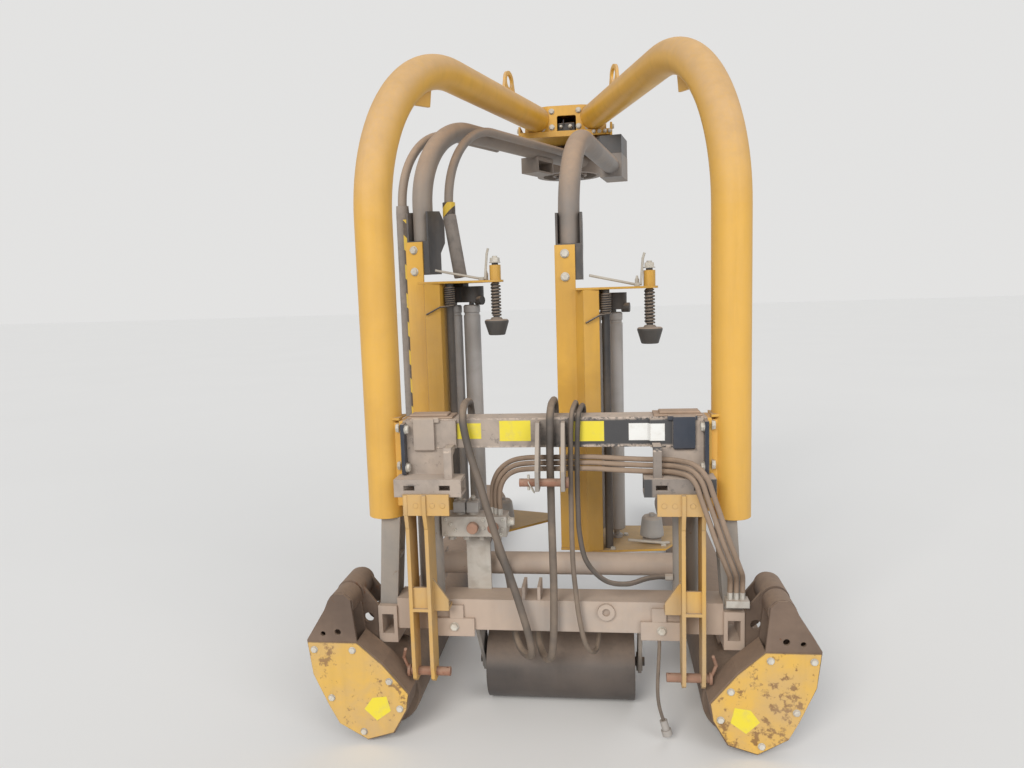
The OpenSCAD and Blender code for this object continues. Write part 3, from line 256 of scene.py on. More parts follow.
finishes = {}
finishes["arch"] = worn("arch_yellow", (0.73, 0.405, 0.045), (0.66, 0.36, 0.040), dust=(0.68, 0.44, 0.22),
                        dust_up=0.95, dust_all=0.26, rust=0.05, wear=0.2, rough=0.36, lift=0.28)
finishes["yellow"] = worn("yellow_worn", (0.665, 0.375, 0.055), (0.56, 0.31, 0.05), dust=(0.52, 0.37, 0.22),
                          dust_up=0.9, dust_all=0.28, rust=0.2, wear=0.5, rough=0.38)
finishes["hitch_yellow"] = worn("hitch_yellow", (0.62, 0.36, 0.08), (0.50, 0.33, 0.13),
                                dust=(0.50, 0.38, 0.27),
                                dust_up=0.9, dust_all=0.6, rust=0.3, wear=0.6)
finishes["cover"] = worn("cover_yellow", (0.70, 0.42, 0.07), (0.60, 0.38, 0.12), dust=(0.52, 0.38, 0.24),
                         dust_up=0.6, dust_all=0.45, rust=0.9, wear=1.0, patch=7, bare=(0.10, 0.07, 0.055))
finishes["dark"] = worn("dark_paint", (0.045, 0.046, 0.05), (0.075, 0.07, 0.068), dust=(0.42, 0.32, 0.245),
                        dust_up=0.95, dust_all=0.45, rust=0.15, wear=0.4, rough=0.42)
finishes["sleeve"] = worn("sleeve_dark", (0.016, 0.024, 0.040), (0.034, 0.042, 0.060),
                          dust=(0.42, 0.32, 0.245),
                          dust_up=0.95, dust_all=0.12, rust=0.1, wear=0.8, rough=0.32,
                          bare=(0.34, 0.30, 0.27))
finishes["sleeve_dusty"] = worn("sleeve_dusty", (0.33, 0.28, 0.245), (0.42, 0.345, 0.285),
                                dust=(0.53, 0.42, 0.33),
                                dust_up=0.95, dust_all=0.75, rust=0.2, wear=0.5, rough=0.7)
finishes["beam_top"] = worn("beam_top_dust", (0.36, 0.26, 0.19), (0.46, 0.34, 0.255),
                            dust=(0.47, 0.34, 0.25),
                            dust_up=0.9, dust_all=0.7, rust=0.2, wear=0.3, rough=0.8, patch=12)
finishes["grey"] = worn("grey_arm", (0.19, 0.175, 0.165), (0.26, 0.225, 0.195), dust=(0.46, 0.33, 0.235),
                        dust_up=0.95, dust_all=0.5, rust=0.1, wear=0.3, rough=0.5, lift=0.15)
finishes["post"] = worn("grey_post", (0.25, 0.235, 0.22), (0.36, 0.315, 0.275), dust=(0.50, 0.41, 0.33),
                        dust_up=0.9, dust_all=0.6, rust=0.3, wear=0.4, rough=0.55)
finishes["beam"] = worn("brown_beam", (0.44, 0.345, 0.28), (0.36, 0.33, 0.31), dust=(0.55, 0.43, 0.34),
                        dust_up=0.9, dust_all=0.75, rust=0.35, wear=0.4, rough=0.6)
finishes["case"] = worn("case_brown", (0.115, 0.078, 0.058), (0.19, 0.13, 0.095), dust=(0.32, 0.225, 0.16),
                        dust_up=0.9, dust_all=0.45, rust=0.7, wear=0.6, rough=0.65, bump=0.5)
finishes["gear"] = worn("gear_grease", (0.075, 0.052, 0.040), (0.12, 0.08, 0.055), dust=(0.26, 0.18, 0.12),
                        dust_up=0.5, dust_all=0.35, rust=0.4, wear=0.2, rough=0.5, bump=0.5)
finishes["pin"] = worn("rusty_pin", (0.26, 0.115, 0.07), (0.34, 0.19, 0.13), dust=(0.45, 0.32, 0.24),
                       dust_up=0.5, dust_all=0.35, rust=0.8, wear=0.3, rough=0.7, bump=0.5, patch=14)
finishes["drum"] = worn("ground_drum", (0.048, 0.042, 0.040), (0.080, 0.068, 0.062),
                        dust=(0.24, 0.18, 0.14),
                        dust_up=0.9, dust_all=0.3, rust=0.4, wear=0.3, rough=0.45, bump=0.3)
finishes["roller"] = worn("bale_roller", (0.085, 0.060, 0.046), (0.14, 0.10, 0.075),
                          dust=(0.34, 0.24, 0.17),
                          dust_up=0.85, dust_all=0.5, rust=0.6, wear=0.4, rough=0.6, bump=0.4)
finishes["zinc"] = worn("zinc_dusty", (0.50, 0.48, 0.44), (0.40, 0.37, 0.33), dust=(0.45, 0.34, 0.26),
                        dust_up=0.6, dust_all=0.55, rust=0.1, wear=0.2, rough=0.42, patch=20)
finishes["bolt"] = worn("bolt_zinc", (0.62, 0.60, 0.54), (0.48, 0.44, 0.38), dust=(0.50, 0.40, 0.30),
                        dust_up=0.4, dust_all=0.3, rust=0.1, wear=0.2, rough=0.35, patch=30)
finishes["alu"] = worn("aluminium_roller", (0.44, 0.43, 0.43), (0.36, 0.345, 0.335),
                       dust=(0.50, 0.42, 0.35),
                       dust_up=0.6, dust_all=0.45, rust=0.0, wear=0.1, rough=0.36, patch=6)
finishes["black"] = worn("black_steel", (0.028, 0.028, 0.030), (0.045, 0.042, 0.040),
                         dust=(0.36, 0.28, 0.215),
                         dust_up=0.9, dust_all=0.3, rust=0.1, wear=0.2, rough=0.5)
finishes["hose"] = worn("hose_dusty", (0.075, 0.066, 0.060), (0.13, 0.105, 0.088), dust=(0.33, 0.25, 0.185),
                        dust_up=0.9, dust_all=0.7, rust=0.0, wear=0.0, rough=0.65, patch=9)
finishes["hose_dark"] = worn("hose_black", (0.030, 0.029, 0.029), (0.055, 0.048, 0.044),
                             dust=(0.27, 0.21, 0.165),
                             dust_up=0.8, dust_all=0.5, rust=0.0, wear=0.0, rough=0.6, patch=9)
finishes["hose_tan"] = worn("hose_tan", (0.23, 0.165, 0.12), (0.31, 0.225, 0.165), dust=(0.40, 0.29, 0.21),
                            dust_up=0.9, dust_all=0.7, rust=0.0, wear=0.0, rough=0.7, patch=9)
finishes["foam"] = worn("grey_foam", (0.25, 0.225, 0.205), (0.17, 0.155, 0.145), dust=(0.40, 0.33, 0.28),
                        dust_up=0.5, dust_all=0.6, rust=0.0, wear=0.0, rough=0.9, bump=0.9, patch=25)
finishes["pale"] = worn("pale_steel", (0.55, 0.52, 0.46), (0.45, 0.42, 0.37), dust=(0.50, 0.42, 0.33),
                        dust_up=0.5, dust_all=0.4, rust=0.1, wear=0.2, rough=0.45, patch=20)
finishes["plastic"] = worn("grey_plastic", (0.40, 0.385, 0.37), (0.31, 0.30, 0.29), dust=(0.42, 0.35, 0.29),
                           dust_up=0.7, dust_all=0.5, rust=0.0, wear=0.0, rough=0.6, patch=12)


def cone_material():
    """Black rubber above, grey plastic for the lower cone."""
    s = Shade("film_cone", roughness=0.6)
    height = s.axis(s.place, "Z")
    low = s.math("LESS_THAN", height, 0.8)
    mottle = s.noise(20, 4)
    dark = s.mix(mottle, (0.050, 0.047, 0.045), (0.095, 0.088, 0.082))
    pale = s.mix(mottle, (0.30, 0.285, 0.27), (0.40, 0.375, 0.35))
    up = s.math("MULTIPLY", s.facing_up(0.2, 0.9), 0.8)
    colour = s.mix(up, s.mix(low, dark, pale), (0.42, 0.33, 0.26))
    s.bump(s.noise(120, 4), 0.25, 0.0008, s.round_edges(0.002))
    return s.finish(colour, s.blend(up, 0.55, 0.9))


def stripe_material(name, along, period=0.11, phase=0.0):
    """Black and yellow hazard stripes at 45 degrees, scuffed."""
    s = Shade(name, roughness=0.4)
    x = s.axis(s.place, "X")
    z = s.axis(s.place, "Z")
    ramp = s.math("ADD", s.math("MULTIPLY", x, along), z)
    wave = s.math("FRACT", s.math("DIVIDE", s.math("ADD", ramp, phase + 10), period))
    band = s.step(wave, 0.49, 0.51)
    scuffs = s.step(s.noise(60, 6, 0.7), 0.55, 0.68)
    colour = s.mix(band, (0.74, 0.50, 0.03), (0.022, 0.021, 0.021))
    colour = s.mix(s.math("MULTIPLY", scuffs, 0.5), colour, (0.36, 0.30, 0.24))
    colour = s.mix(s.math("MULTIPLY", s.noise(7, 5), 0.3), colour, DUST)
    s.bump(scuffs, 0.15, 0.0005)
    return s.finish(colour, s.blend(scuffs, 0.4, 0.8))


def label_material(name, base):
    s = Shade(name, roughness=0.4)
    dirt = s.step(s.noise(30, 6, 0.7), 0.45, 0.8)
    colour = s.mix(s.math("MULTIPLY", dirt, 0.4), base, (0.42, 0.34, 0.25))
    colour = s.mix(s.math("MULTIPLY", s.edges(0.002), 0.5), colour, (0.35, 0.3, 0.24))
    s.bump(s.noise(90, 3), 0.1, 0.0004)
    return s.finish(colour, s.blend(dirt, 0.35, 0.7))


def beam_material():
    """Dark beam: dusty on the left, barer on the right, tan-grey on the end plates."""
    # Fronts of the beam and of the channels below its ends
    face, channel_front = ARCH_Y * MM - 0.050, ARCH_Y * MM - 0.112
    # Inner edge of the end plates under the beam and on it, and their outer edge
    plate_low, plate_high, plate_out = 0.300, 0.368, 0.4602
    # Height of the beam's middle, and the worn lips' band above and below it
    middle, lip_low, lip_high = 0.9765, 0.034, 0.048
    s = Shade("upper_beam", roughness=0.5)
    x = s.axis(s.place, "X")
    y = s.axis(s.place, "Y")
    z = s.axis(s.place, "Z")
    mottle = s.noise(9, 6, 0.65, warp=0.5)
    fine = s.noise(70, 5, 0.7)
    left = s.step(s.math("ADD", x, s.math("MULTIPLY", s.math("SUBTRACT", mottle, 0.5), 0.5)), 0.10, -0.12)
    out = s.math("ABSOLUTE", x)
    inner_edge = s.blend(s.math("GREATER_THAN", z, BEAM_Z * MM - 0.001), plate_low, plate_high)
    ends = s.math("MULTIPLY", s.step(s.math("SUBTRACT", out, inner_edge), -0.003, 0.003),
                  s.step(y, face + 0.002, face - 0.002))
    ends = s.math("MULTIPLY", ends, s.math("LESS_THAN", out, plate_out))
    channel = s.math("LESS_THAN", y, channel_front)
    ends = s.math("MULTIPLY", ends, s.blend(channel, 1.0, 0.5))
    film = s.math("MAXIMUM", s.math("MULTIPLY", left, 0.75), s.math("MULTIPLY", ends, 0.85))
    film = s.math("MULTIPLY", film, s.blend(s.step(mottle, 0.30, 0.62), 0.72, 1.0))
    lip = s.math("ABSOLUTE", s.math("SUBTRACT", z, middle))
    rim = s.math("MULTIPLY", s.step(lip, lip_low, lip_low + 0.010), s.math("LESS_THAN", lip, lip_high))
    film = s.math("MAXIMUM", film, s.math("MULTIPLY", rim, s.step(fine, 0.38, 0.55)))
    up = s.math("MULTIPLY", s.facing_up(0.1, 0.7), 0.97)
    cover = s.math("MAXIMUM", film, up, clamp=True)
    dark = s.mix(mottle, (0.040, 0.041, 0.045), (0.080, 0.076, 0.076))
    scrape = s.math("MULTIPLY", s.edges(0.004), s.step(fine, 0.42, 0.6))
    dark = s.mix(s.math("MULTIPLY", scrape, 0.7), dark, (0.30, 0.26, 0.23))
    tan = s.mix(s.noise(22, 5), (0.60, 0.485, 0.39), (0.43, 0.365, 0.32))
    chips = s.math("MULTIPLY", s.step(s.noise(38, 6, 0.7), 0.58, 0.68), 0.55)
    tan = s.mix(chips, tan, (0.14, 0.125, 0.115))
    s.bump(s.math("ADD", s.math("MULTIPLY", fine, 0.6), s.math("MULTIPLY", cover, 0.6)), 0.3, 0.001,
           s.round_edges(0.004))
    return s.finish(s.mix(cover, dark, tan), s.blend(cover, 0.4, 0.9))


finishes["upper_beam"] = beam_material()
finishes["cone"] = cone_material()
finishes["stripes"] = stripe_material("hazard_stripes", 1.0)
finishes["tape"] = stripe_material("hazard_tape", -1.0, period=0.075, phase=0.02)
finishes["label"] = label_material("label_yellow", (0.76, 0.63, 0.045))
finishes["label_white"] = label_material("label_white", (0.78, 0.78, 0.76))

NODE_FINISH = {
    "arch": ["arch_tube_left", "arch_tube_right"],
    "yellow": ["hub_box", "hub_plate", "mast_left", "mast_right", "film_plates_left", "film_plates_right"],
    "hitch_yellow": ["hitch_bracket_left", "hitch_bracket_right"],
    "cover": ["case_cover_left", "case_cover_right"],
    "upper_beam": ["upper_beam"],
    "dark": ["rotor_head", "arm_clamp_left", "arm_clamp_right"],
    "post": ["top_link_bracket", "side_post_left", "side_post_right", "roller_struts"],
    "grey": ["arm_tube_left", "arm_tube_right", "safety_bar_outer", "safety_bar_inner"],
    "beam": ["lower_beam", "cross_tube"],
    "case": ["outrigger_left", "outrigger_right", "roller_case_left", "roller_case_right"],
    "gear": ["slew_gear"],
    "pin": ["top_link_pin", "lower_pin_left", "lower_pin_right"],
    "drum": ["ground_roller"],
    "roller": ["bale_roller_left", "bale_roller_right"],
    "zinc": ["valve_block", "hose_fittings"],
    "alu": ["stretch_rollers_left", "stretch_rollers_right"],
    "black": ["roller_drive_left", "roller_drive_right"],
    "pale": ["lever_left", "lever_right"],
    "plastic": ["cable_connector"],
    "cone": ["film_cones_left", "film_cones_right"],
    "stripes": ["stripe_board"],
    "hose_tan": ["hose_bundle"],
    "hose": ["hose_left_loop", "hose_centre_loop", "hose_thin", "hanging_cable"],
    "hose_dark": ["hose_dark"],
}
for key, names in NODE_FINISH.items():
    for name in names:
        node = nodes[name]
        if not node.material_slots:
            node.data.materials.append(None)
        for slot in node.material_slots:
            slot.material = finishes[key]
assert {n for names in NODE_FINISH.values() for n in names} == set(nodes)


# Hoses: the same routes as in the CAD source, swept smoothly
def catmull(a, b, c, d, t):
    square, cube = 2 * a - 5 * b + 4 * c - d, 3 * b - a - 3 * c + d
    return 0.5 * ((2 * b) + (c - a) * t + square * t * t + cube * t ** 3)


def smooth(points, steps=8):
    p = [Vector(q) for q in points]
    out = []
    for i in range(len(p) - 1):
        a, d = p[max(i - 1, 0)], p[min(i + 2, len(p) - 1)]
        out += [catmull(a, p[i], p[i + 1], d, k / steps) for k in range(steps)]
    return out + [p[-1]]


def hose_curve(name, routes, diameter, material, local=ARCH):
    data = bpy.data.curves.new(name, "CURVE")
    data.dimensions = "3D"
    data.bevel_depth = diameter * MM / 2
    data.bevel_resolution = 5
    data.use_fill_caps = True
    paths = []
    for route in routes:
        path = [local @ v for v in smooth(route)]
        spline = data.splines.new("POLY")
        spline.points.add(len(path) - 1)
        for q, v in zip(spline.points, path):
            q.co = (*v, 1)
        paths.append(path)
    data.materials.append(material)
    obj = bpy.data.objects.new(name, data)
    scene.collection.objects.link(obj)
    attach(obj, "frame")
    return obj, paths[0]


def free_hose(name, node, route, diameter, material):
    obj, path = hose_curve(name, [route], diameter, material)
    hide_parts(node)


left_loop = [(-285, 70, 955), (-285, 95, 955), (-285, 130, 975), (-285, 142, 1008), (-284, 126, 1040),
             (-283, 90, 1058), (-282, 40, 1062), (-280, -10, 1061), (-278, -42, 1053), (-276, -66, 1034),
             (-272, -80, 1000), (-255, -84, 920), (-225, -92, 820), (-180, -100, 660), (-130, -100, 500),
             (-92, -96, 360), (-80, -86, 292), (-84, -60, 252), (-104, -22, 236), (-126, 14, 240),
             (-144, 46, 266), (-152, 62, 310), (-158, 67, 400), (-166, 64, 470), (-178, 48, 520),
             (-188, 20, 560), (-190, 8, 590), (-190, 8, 614)]
centre_loop = [(0, 70, 955), (0, 95, 955), (0, 130, 975), (0, 142, 1008), (0, 126, 1040),
               (0, 90, 1058), (0, 40, 1062), (-1, -10, 1061), (-2, -42, 1053), (-3, -66, 1034),
               (-4, -76, 1000), (-6, -76, 900), (-6, -74, 800), (-6, -74, 700), (-5, -76, 600),
               (-4, -80, 500), (-6, -83, 400), (-9, -84, 320), (-16, -74, 262), (-30, -44, 232),
               (-48, -6, 228), (-64, 32, 248), (-72, 62, 288), (-74, 70, 324),
               (-74, 70, 350)]
thin_route = [(72, 68, 960), (72, 88, 960), (72, 116, 976), (72, 128, 1004), (72, 116, 1034),
              (71, 86, 1050), (70, 30, 1054), (67, -20, 1050), (64, -48, 1040), (61, -66, 1016),
              (59, -70, 980), (57, -72, 900), (56, -74, 830), (56, -74, 760), (56, -76, 660),
              (58, -78, 560), (64, -78, 480), (72, -78, 400), (88, -78, 316), (108, -54, 268),
              (124, -4, 250), (132, 46, 276), (134, 66, 306), (134, 70, 330),
              (134, 70, 350)]
dark_route = [(96, 68, 960), (96, 86, 960), (96, 112, 976), (96, 122, 1002), (95, 110, 1028),
              (93, 76, 1042), (90, 20, 1046), (87, -24, 1042), (84, -56, 1034), (81, -68, 1000),
              (79, -70, 960), (77, -68, 890), (76, -68, 820), (77, -70, 740), (80, -72, 660),
              (100, -76, 572), (156, -72, 510), (224, -48, 490), (284, -20, 497), (322, -10, 500),
              (345, -10, 500)]
cable_route = [(322, -57, 312), (322, -59, 290), (318, -72, 236), (314, -84, 160), (318, -90, 110),
               (330, -94, 66)]
bundle_route = [(-176, -10, 722), (-176, -10, 740), (-176, -10, 758), (-172, -13, 790), (-157, -18, 822),
                (-128, -26, 846), (-84, -34, 857), (0, -42, 860), (120, -50, 862), (220, -76, 862),
                (290, -89, 862), (326, -90, 862), (343, -92, 862), (360, -100, 862), (380, -117, 862),
                (400, -138, 861), (414, -151, 853), (427, -159, 834), (438, -160, 800), (456, -160, 746),
                (484, -155, 662), (510, -136, 594), (526, -106, 553), (534, -84, 532), (537, -70, 514),
                (538, -64, 500), (538, -62, 487), (538, -62, 480), (538, -62, 474)]
BUNDLE_PITCH = 18.5
BUNDLE_TURN = math.radians(40)
BUNDLE_COUNT = 3


def beside_route(route, distance, angle):
    """Route laid beside another one, at a set distance and angle about its path."""
    p = [Vector(q) for q in route]
    side, out = None, []
    for k, q in enumerate(p):
        t = (p[min(k + 1, len(p) - 1)] - p[max(k - 1, 0)]).normalized()
        side = t.cross(Vector((1, 0, 0))) if side is None else side - t * side.dot(t)
        side = side.normalized()
        out.append(q + distance * (math.cos(angle) * t.cross(side) + math.sin(angle) * side))
    return out


THICK, THIN, CABLE = 24, 16, 11
free_hose("hose_loop_left", "hose_left_loop", left_loop, THICK, finishes["hose"])
free_hose("hose_loop_centre", "hose_centre_loop", centre_loop, THICK, finishes["hose"])
free_hose("hose_loop_thin", "hose_thin", thin_route, THIN, finishes["hose"])
free_hose("hose_loop_dark", "hose_dark", dark_route, THIN, finishes["hose_dark"])
free_hose("cable_hanging", "hanging_cable", cable_route, CABLE, finishes["hose"])
bundle_paths = [beside_route(bundle_route, i * BUNDLE_PITCH, BUNDLE_TURN) for i in range(BUNDLE_COUNT)]
bundle, _ = hose_curve("hose_bundle_smooth", bundle_paths, THIN, finishes["hose_tan"])
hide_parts("hose_bundle")


# Small shapes gathered into one mesh for each body, finish and place
class Kit:
    def __init__(self, name, body, finish, slot, local=ARCH):
        self.name, self.body, self.finish, self.slot, self.local = name, body, finish, slot, local
        self.bm = bmesh.new()

    def solid(self, rings, closed=False):
        """Skin over rings of points, capped at both ends unless it closes on itself."""
        made = [[self.bm.verts.new(v) for v in ring] for ring in rings]
        count = len(made[0])
        pairs = list(zip(made, made[1:])) + ([(made[-1], made[0])] if closed else [])
        for low, high in pairs:
            for k in range(count):
                m = (k + 1) % count
                self.bm.faces.new((low[k], low[m], high[m], high[k]))
        if not closed:
            self.bm.faces.new(list(reversed(made[0])))
            self.bm.faces.new(made[-1])

    def across(self, axis):
        """The axis made one long, with two directions across it."""
        axis = Vector(axis).normalized()
        side = axis.cross(Vector((0, 0, 1)) if abs(axis.z) < 0.9 else Vector((1, 0, 0))).normalized()
        return axis, side, axis.cross(side)

    def ring(self, centre, axis, radius, sides):
        axis, u, v = self.across(axis)
        return [Vector(centre) + radius * (math.cos(a) * u + math.sin(a) * v)
                for a in (math.tau * k / sides for k in range(sides))]

    def turned(self, base, axis, profile, sides=20):
        """Solid of revolution from pairs of radius and height."""
        axis = Vector(axis).normalized()
        self.solid([self.ring(Vector(base) + axis * h, axis, r, sides) for r, h in profile])

    def cylinder(self, base, axis, radius, height, sides=20, chamfer=0.6):
        c = min(chamfer, radius / 3, height / 3)
        profile = [(radius - c, 0), (radius, c), (radius, height - c), (radius - c, height)]
        self.turned(base, axis, profile, sides)

    def hexagon(self, base, axis, flats, height):
        r = flats / math.sqrt(3)
        self.turned(base, axis, [(r, 0), (r, height * 0.8), (r * 0.88, height)], 6)

    def washer(self, at, axis, size):
        """Washer for a thread of the given size; gives the place on top of it."""
        self.cylinder(at, axis, size * 1.05, size * 0.16, 20, 0.3)
        return Vector(at) + Vector(axis).normalized() * size * 0.16

    def bolt(self, at, axis, size, proud=None):
        """Hex head on a washer."""
        self.hexagon(self.washer(at, axis, size), axis, size * 1.6, proud or size * 0.6)

    def nut(self, at, axis, size, stub=6):
        """Nut on a washer, with the thread's end proud of it."""
        top = self.washer(at, axis, size)
        self.hexagon(top, axis, size * 1.6, size * 0.8)
        self.cylinder(top, axis, size * 0.48, size * 0.8 + stub, 16)

    def box(self, low, high, chamfer=0.8):
        (x0, y0, z0), (x1, y1, z1) = low, high
        c = min(chamfer, (x1 - x0) / 3, (y1 - y0) / 3, (z1 - z0) / 3)

        def rect(z, inset):
            return [Vector((x0 + inset, y0 + inset, z)), Vector((x1 - inset, y0 + inset, z)),
                    Vector((x1 - inset, y1 - inset, z)), Vector((x0 + inset, y1 - inset, z))]

        self.solid([rect(z0, c), rect(z0 + c, 0), rect(z1 - c, 0), rect(z1, c)])

    def plate(self, origin, u, v, outline, thickness):
        """Flat plate from an outline in the plane of u and v, thickened along their normal."""
        o, u, v = Vector(origin), Vector(u).normalized(), Vector(v).normalized()
        n = u.cross(v)
        self.solid([[o + u * a + v * b + n * h for a, b in outline] for h in (0, thickness)])

    def tube(self, points, radius, sides=10, closed=False):
        """Round wire or rod along points, with mitred rings."""
        p = [Vector(q) for q in points]
        rings, side = [], None
        for i, q in enumerate(p):
            before = p[i - 1] if i or closed else q
            after = p[(i + 1) % len(p)] if i < len(p) - 1 or closed else q
            t = (after - before).normalized()
            if side is None:
                side = self.across(t)[1]
            side = (side - t * side.dot(t)).normalized()
            up = t.cross(side)
            rings.append([q + radius * (math.cos(a) * side + math.sin(a) * up)
                          for a in (math.tau * k / sides for k in range(sides))])
        self.solid(rings, closed)

    def coil(self, base, radius, wire, pitch, turns, steps=20, sides=8):
        """Helical spring standing along Z."""
        self.tube([Vector(base) + Vector((radius * math.cos(a), radius * math.sin(a), pitch * a / math.tau))
                   for a in (math.tau * k / steps for k in range(int(turns * steps) + 1))], wire, sides)

    def done(self):
        bmesh.ops.transform(self.bm, matrix=self.local, verts=self.bm.verts)
        bmesh.ops.recalc_face_normals(self.bm, faces=self.bm.faces)
        mesh = bpy.data.meshes.new(self.name)
        self.bm.to_mesh(mesh)
        self.bm.free()
        mesh.polygons.foreach_set("use_smooth", [True] * len(mesh.polygons))
        mesh.set_sharp_from_angle(angle=math.radians(38))
        mesh.materials.append(finishes[self.finish])
        obj = bpy.data.objects.new(self.name, mesh)
        scene.collection.objects.link(obj)
        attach(obj, self.body)


FRONT = (0, -1, 0)
UP = (0, 0, 1)

# Bolts and nuts of the frame
bolts = Kit("bolts_frame", "frame", "bolt", "zinc")
for side in (-1, 1):
    for z in (873, 995):
        bolts.bolt((side * 484, -46, z), (side, 0, 0), 16)
    bolts.bolt((side * 330, -63, 345), FRONT, 14)
for x in (-62, 64):
    for z in (2178, 2250):
        bolts.bolt((x, HUB_FRONT, z), FRONT, 13)
for side in (-1, 1):
    for dx, dz in ((100, 2172), (112, 2230)):
        bolts.bolt((side * dx, HUB_FRONT + 22 * (dx - 78) / 115 + 14, dz), (side * 0.35, -1, 0), 13)
    bolts.bolt((side * 185, HUB_REACH + 60, 2147), (0, 0, -1), 16)
    bolts.nut((side * 185, HUB_REACH + 60, 2159), UP, 16)
    bolts.bolt((side * 220, HUB_REACH - 415, 2173), (side, 0, 0), 12)
bolts.done()

# Upper fronts of the hitch brackets' ribs over the cross plate, and plugs over its holes
for side in (-1, 1):
    k = Kit("hitch_ribs_" + SIDE[side], "frame", "hitch_yellow", "yellow_paint", ARCH_SIDE[side])
    for x, front in ((385, -157), (444, -151.2)):
        k.plate((x, 0, 0), (0, 1, 0), (0, 0, 1),
                [(-150, 804), (front, 802), (front, 742), (-139.5, 690), (-139.5, 738), (-150, 738)], 12)
    for x in (334, 366, 418):
        k.cylinder((x, -150, 770), FRONT, 8.5, 1.2, 16)
    k.done()

# Lynch pin of the top link pin, with its ring
pin_x, ring_y, ring_z, ring_r = -70, -130, 840, 17
k = Kit("lynch_pin", "frame", "bolt", "zinc")
k.tube([(pin_x, -120, 859), (pin_x, -120, 812)], 4.2, 12)
k.tube([(pin_x + 9 * (1 - math.cos(a)), ring_y - 9 * math.sin(a), ring_z - ring_r + ring_r * math.cos(a))
        for a in (math.tau * i / 20 for i in range(20))], 1.9, 8, closed=True)
k.done()

# Blank labels of the upper beam
labels = Kit("labels_beam", "frame", "label", "yellow_paint")
for x0, x1, z0, z1 in ((-299, -222, 958, 1008), (-164, -66, 950, 1015), (64, 161, 948, 1011)):
    labels.box((x0, -50.7, z0), (x1, -50, z1), 0.2)
labels.done()
label = Kit("label_beam_white", "frame", "label_white", "grey_plastic")
label.solid([[Vector((x, y - dy, z)) for dy, z in ((0, 950), (0, 1003), (0.7, 1003), (0.7, 950))]
             for x, y in ((236, -50), (294, -50), (300.5, -61.6), (344, -61.6))])
label.done()

# Ends of the upper beam: sleeves, caps, the face over each gusset, and the joints' flanges and fins
for side, paint in ((-1, "sleeve_dusty"), (1, "sleeve")):
    k = Kit("beam_sleeve_" + SIDE[side], "frame", paint, "dark_paint", ARCH_SIDE[side])
    k.box((368, -74, 924), (434, -60, 1029), 9)
    k.box((352, -70, 1012), (440, -60, 1030), 5)
    k.done()
    k = Kit("beam_cap_" + SIDE[side], "frame", "beam_top", "dark_paint", ARCH_SIDE[side])
    k.box((312, -52, 1023), (458, 38, 1029), 2)
    k.box((330, -40, 1029), (452, 20, 1036), 3)
    k.done()
    k = Kit("beam_face_" + SIDE[side], "frame", "upper_beam", "dark_paint", ARCH_SIDE[side])
    k.box((300, -61.6, BEAM_Z), (370, -60, 1018), 0.4)
    k.done()
    k = Kit("joint_flange_" + SIDE[side], "frame", "sleeve", "dark_paint", ARCH_SIDE[side])
    k.box((460, -90, 852), (472, -54, 1014), 1.5)
    k.done()
    k = Kit("bolts_flange_" + SIDE[side], "frame", "bolt", "zinc", ARCH_SIDE[side])
    for z in (873, 995):
        k.bolt((460, -75, z), (-1, 0, 0), 15)
    k.done()
    k = Kit("joint_fin_" + SIDE[side], "frame", "yellow", "yellow_paint", ARCH_SIDE[side])
    k.plate((484, -52, 1019), (1, 0, 0), (0, 1, 0), [(0, 0), (62, 22), (62, 60), (0, 92)], 8)
    k.done()

# Swivel and its fittings behind the hub's window, and the ones on the plate's front edge
k = Kit("hub_swivel", "frame", "black", "dark_paint")
k.box((-34, 1366, 2159), (44, 1420, 2202), 3)
k.cylinder((-8, 1358, 2190), UP, 3, 26)
k.done()
k = Kit("hub_fittings", "frame", "bolt", "zinc")
for x, size in ((-20, 15), (24, 19)):
    k.hexagon((x, 1366, 2184), FRONT, size, 9)
    k.cylinder((x, 1357, 2184), FRONT, size * 0.36, 12, 16)
for x in (134, 160, 186, 208):
    k.hexagon((x, 1330, 2148), FRONT, 17, 8)
    k.cylinder((x, 1322, 2148), FRONT, 6, 9, 16)
k.done()

# Valve block: adjusting knobs, socket screws, coils, end cap
valve_y = -30
k = Kit("valve_knobs", "frame", "pin", "rusty_pin")
for x, profile in (
        (-262, [(14, 0), (14.4, 6), (18.4, 8), (18.8, 23), (17.4, 26), (3, 27)]),
        (-196, [(14, 0), (14.4, 3), (17.4, 6), (17.6, 22), (15.8, 25), (4, 25.5), (3, 22.6)])):
    k.turned((x, valve_y, 668), FRONT, profile, 28)
k.done()
coil_xs = (-310, -266)
k = Kit("valve_screws", "frame", "bolt", "zinc")
for x, z in ((-352, 692), (-336, 676), (-322, 657), (-229, 690), (-229, 664), (-166, 690), (-168, 660),
             (-352, 644), (-172, 644)):
    k.turned((x, valve_y, z), FRONT, [(5.4, 0), (5.4, 4.5), (4.8, 5), (2.6, 5), (2.4, 2)], 16)
k.cylinder((-155, 2, 676), (1, 0, 0), 13, 22)
k.hexagon((-155, 2, 676), (1, 0, 0), 30, 8)
for x in coil_xs:
    k.cylinder((x, 8, 746), UP, 7, 14)
    k.hexagon((x, 8, 752), UP, 15, 6)
k.done()
k = Kit("valve_coils", "frame", "plastic", "grey_plastic")
for x in coil_xs:
    k.box((x - 19, -12, 706), (x + 19, 28, 745), 3)
    k.box((x - 12, 28, 716), (x + 12, 46, 736), 2)
k.done()

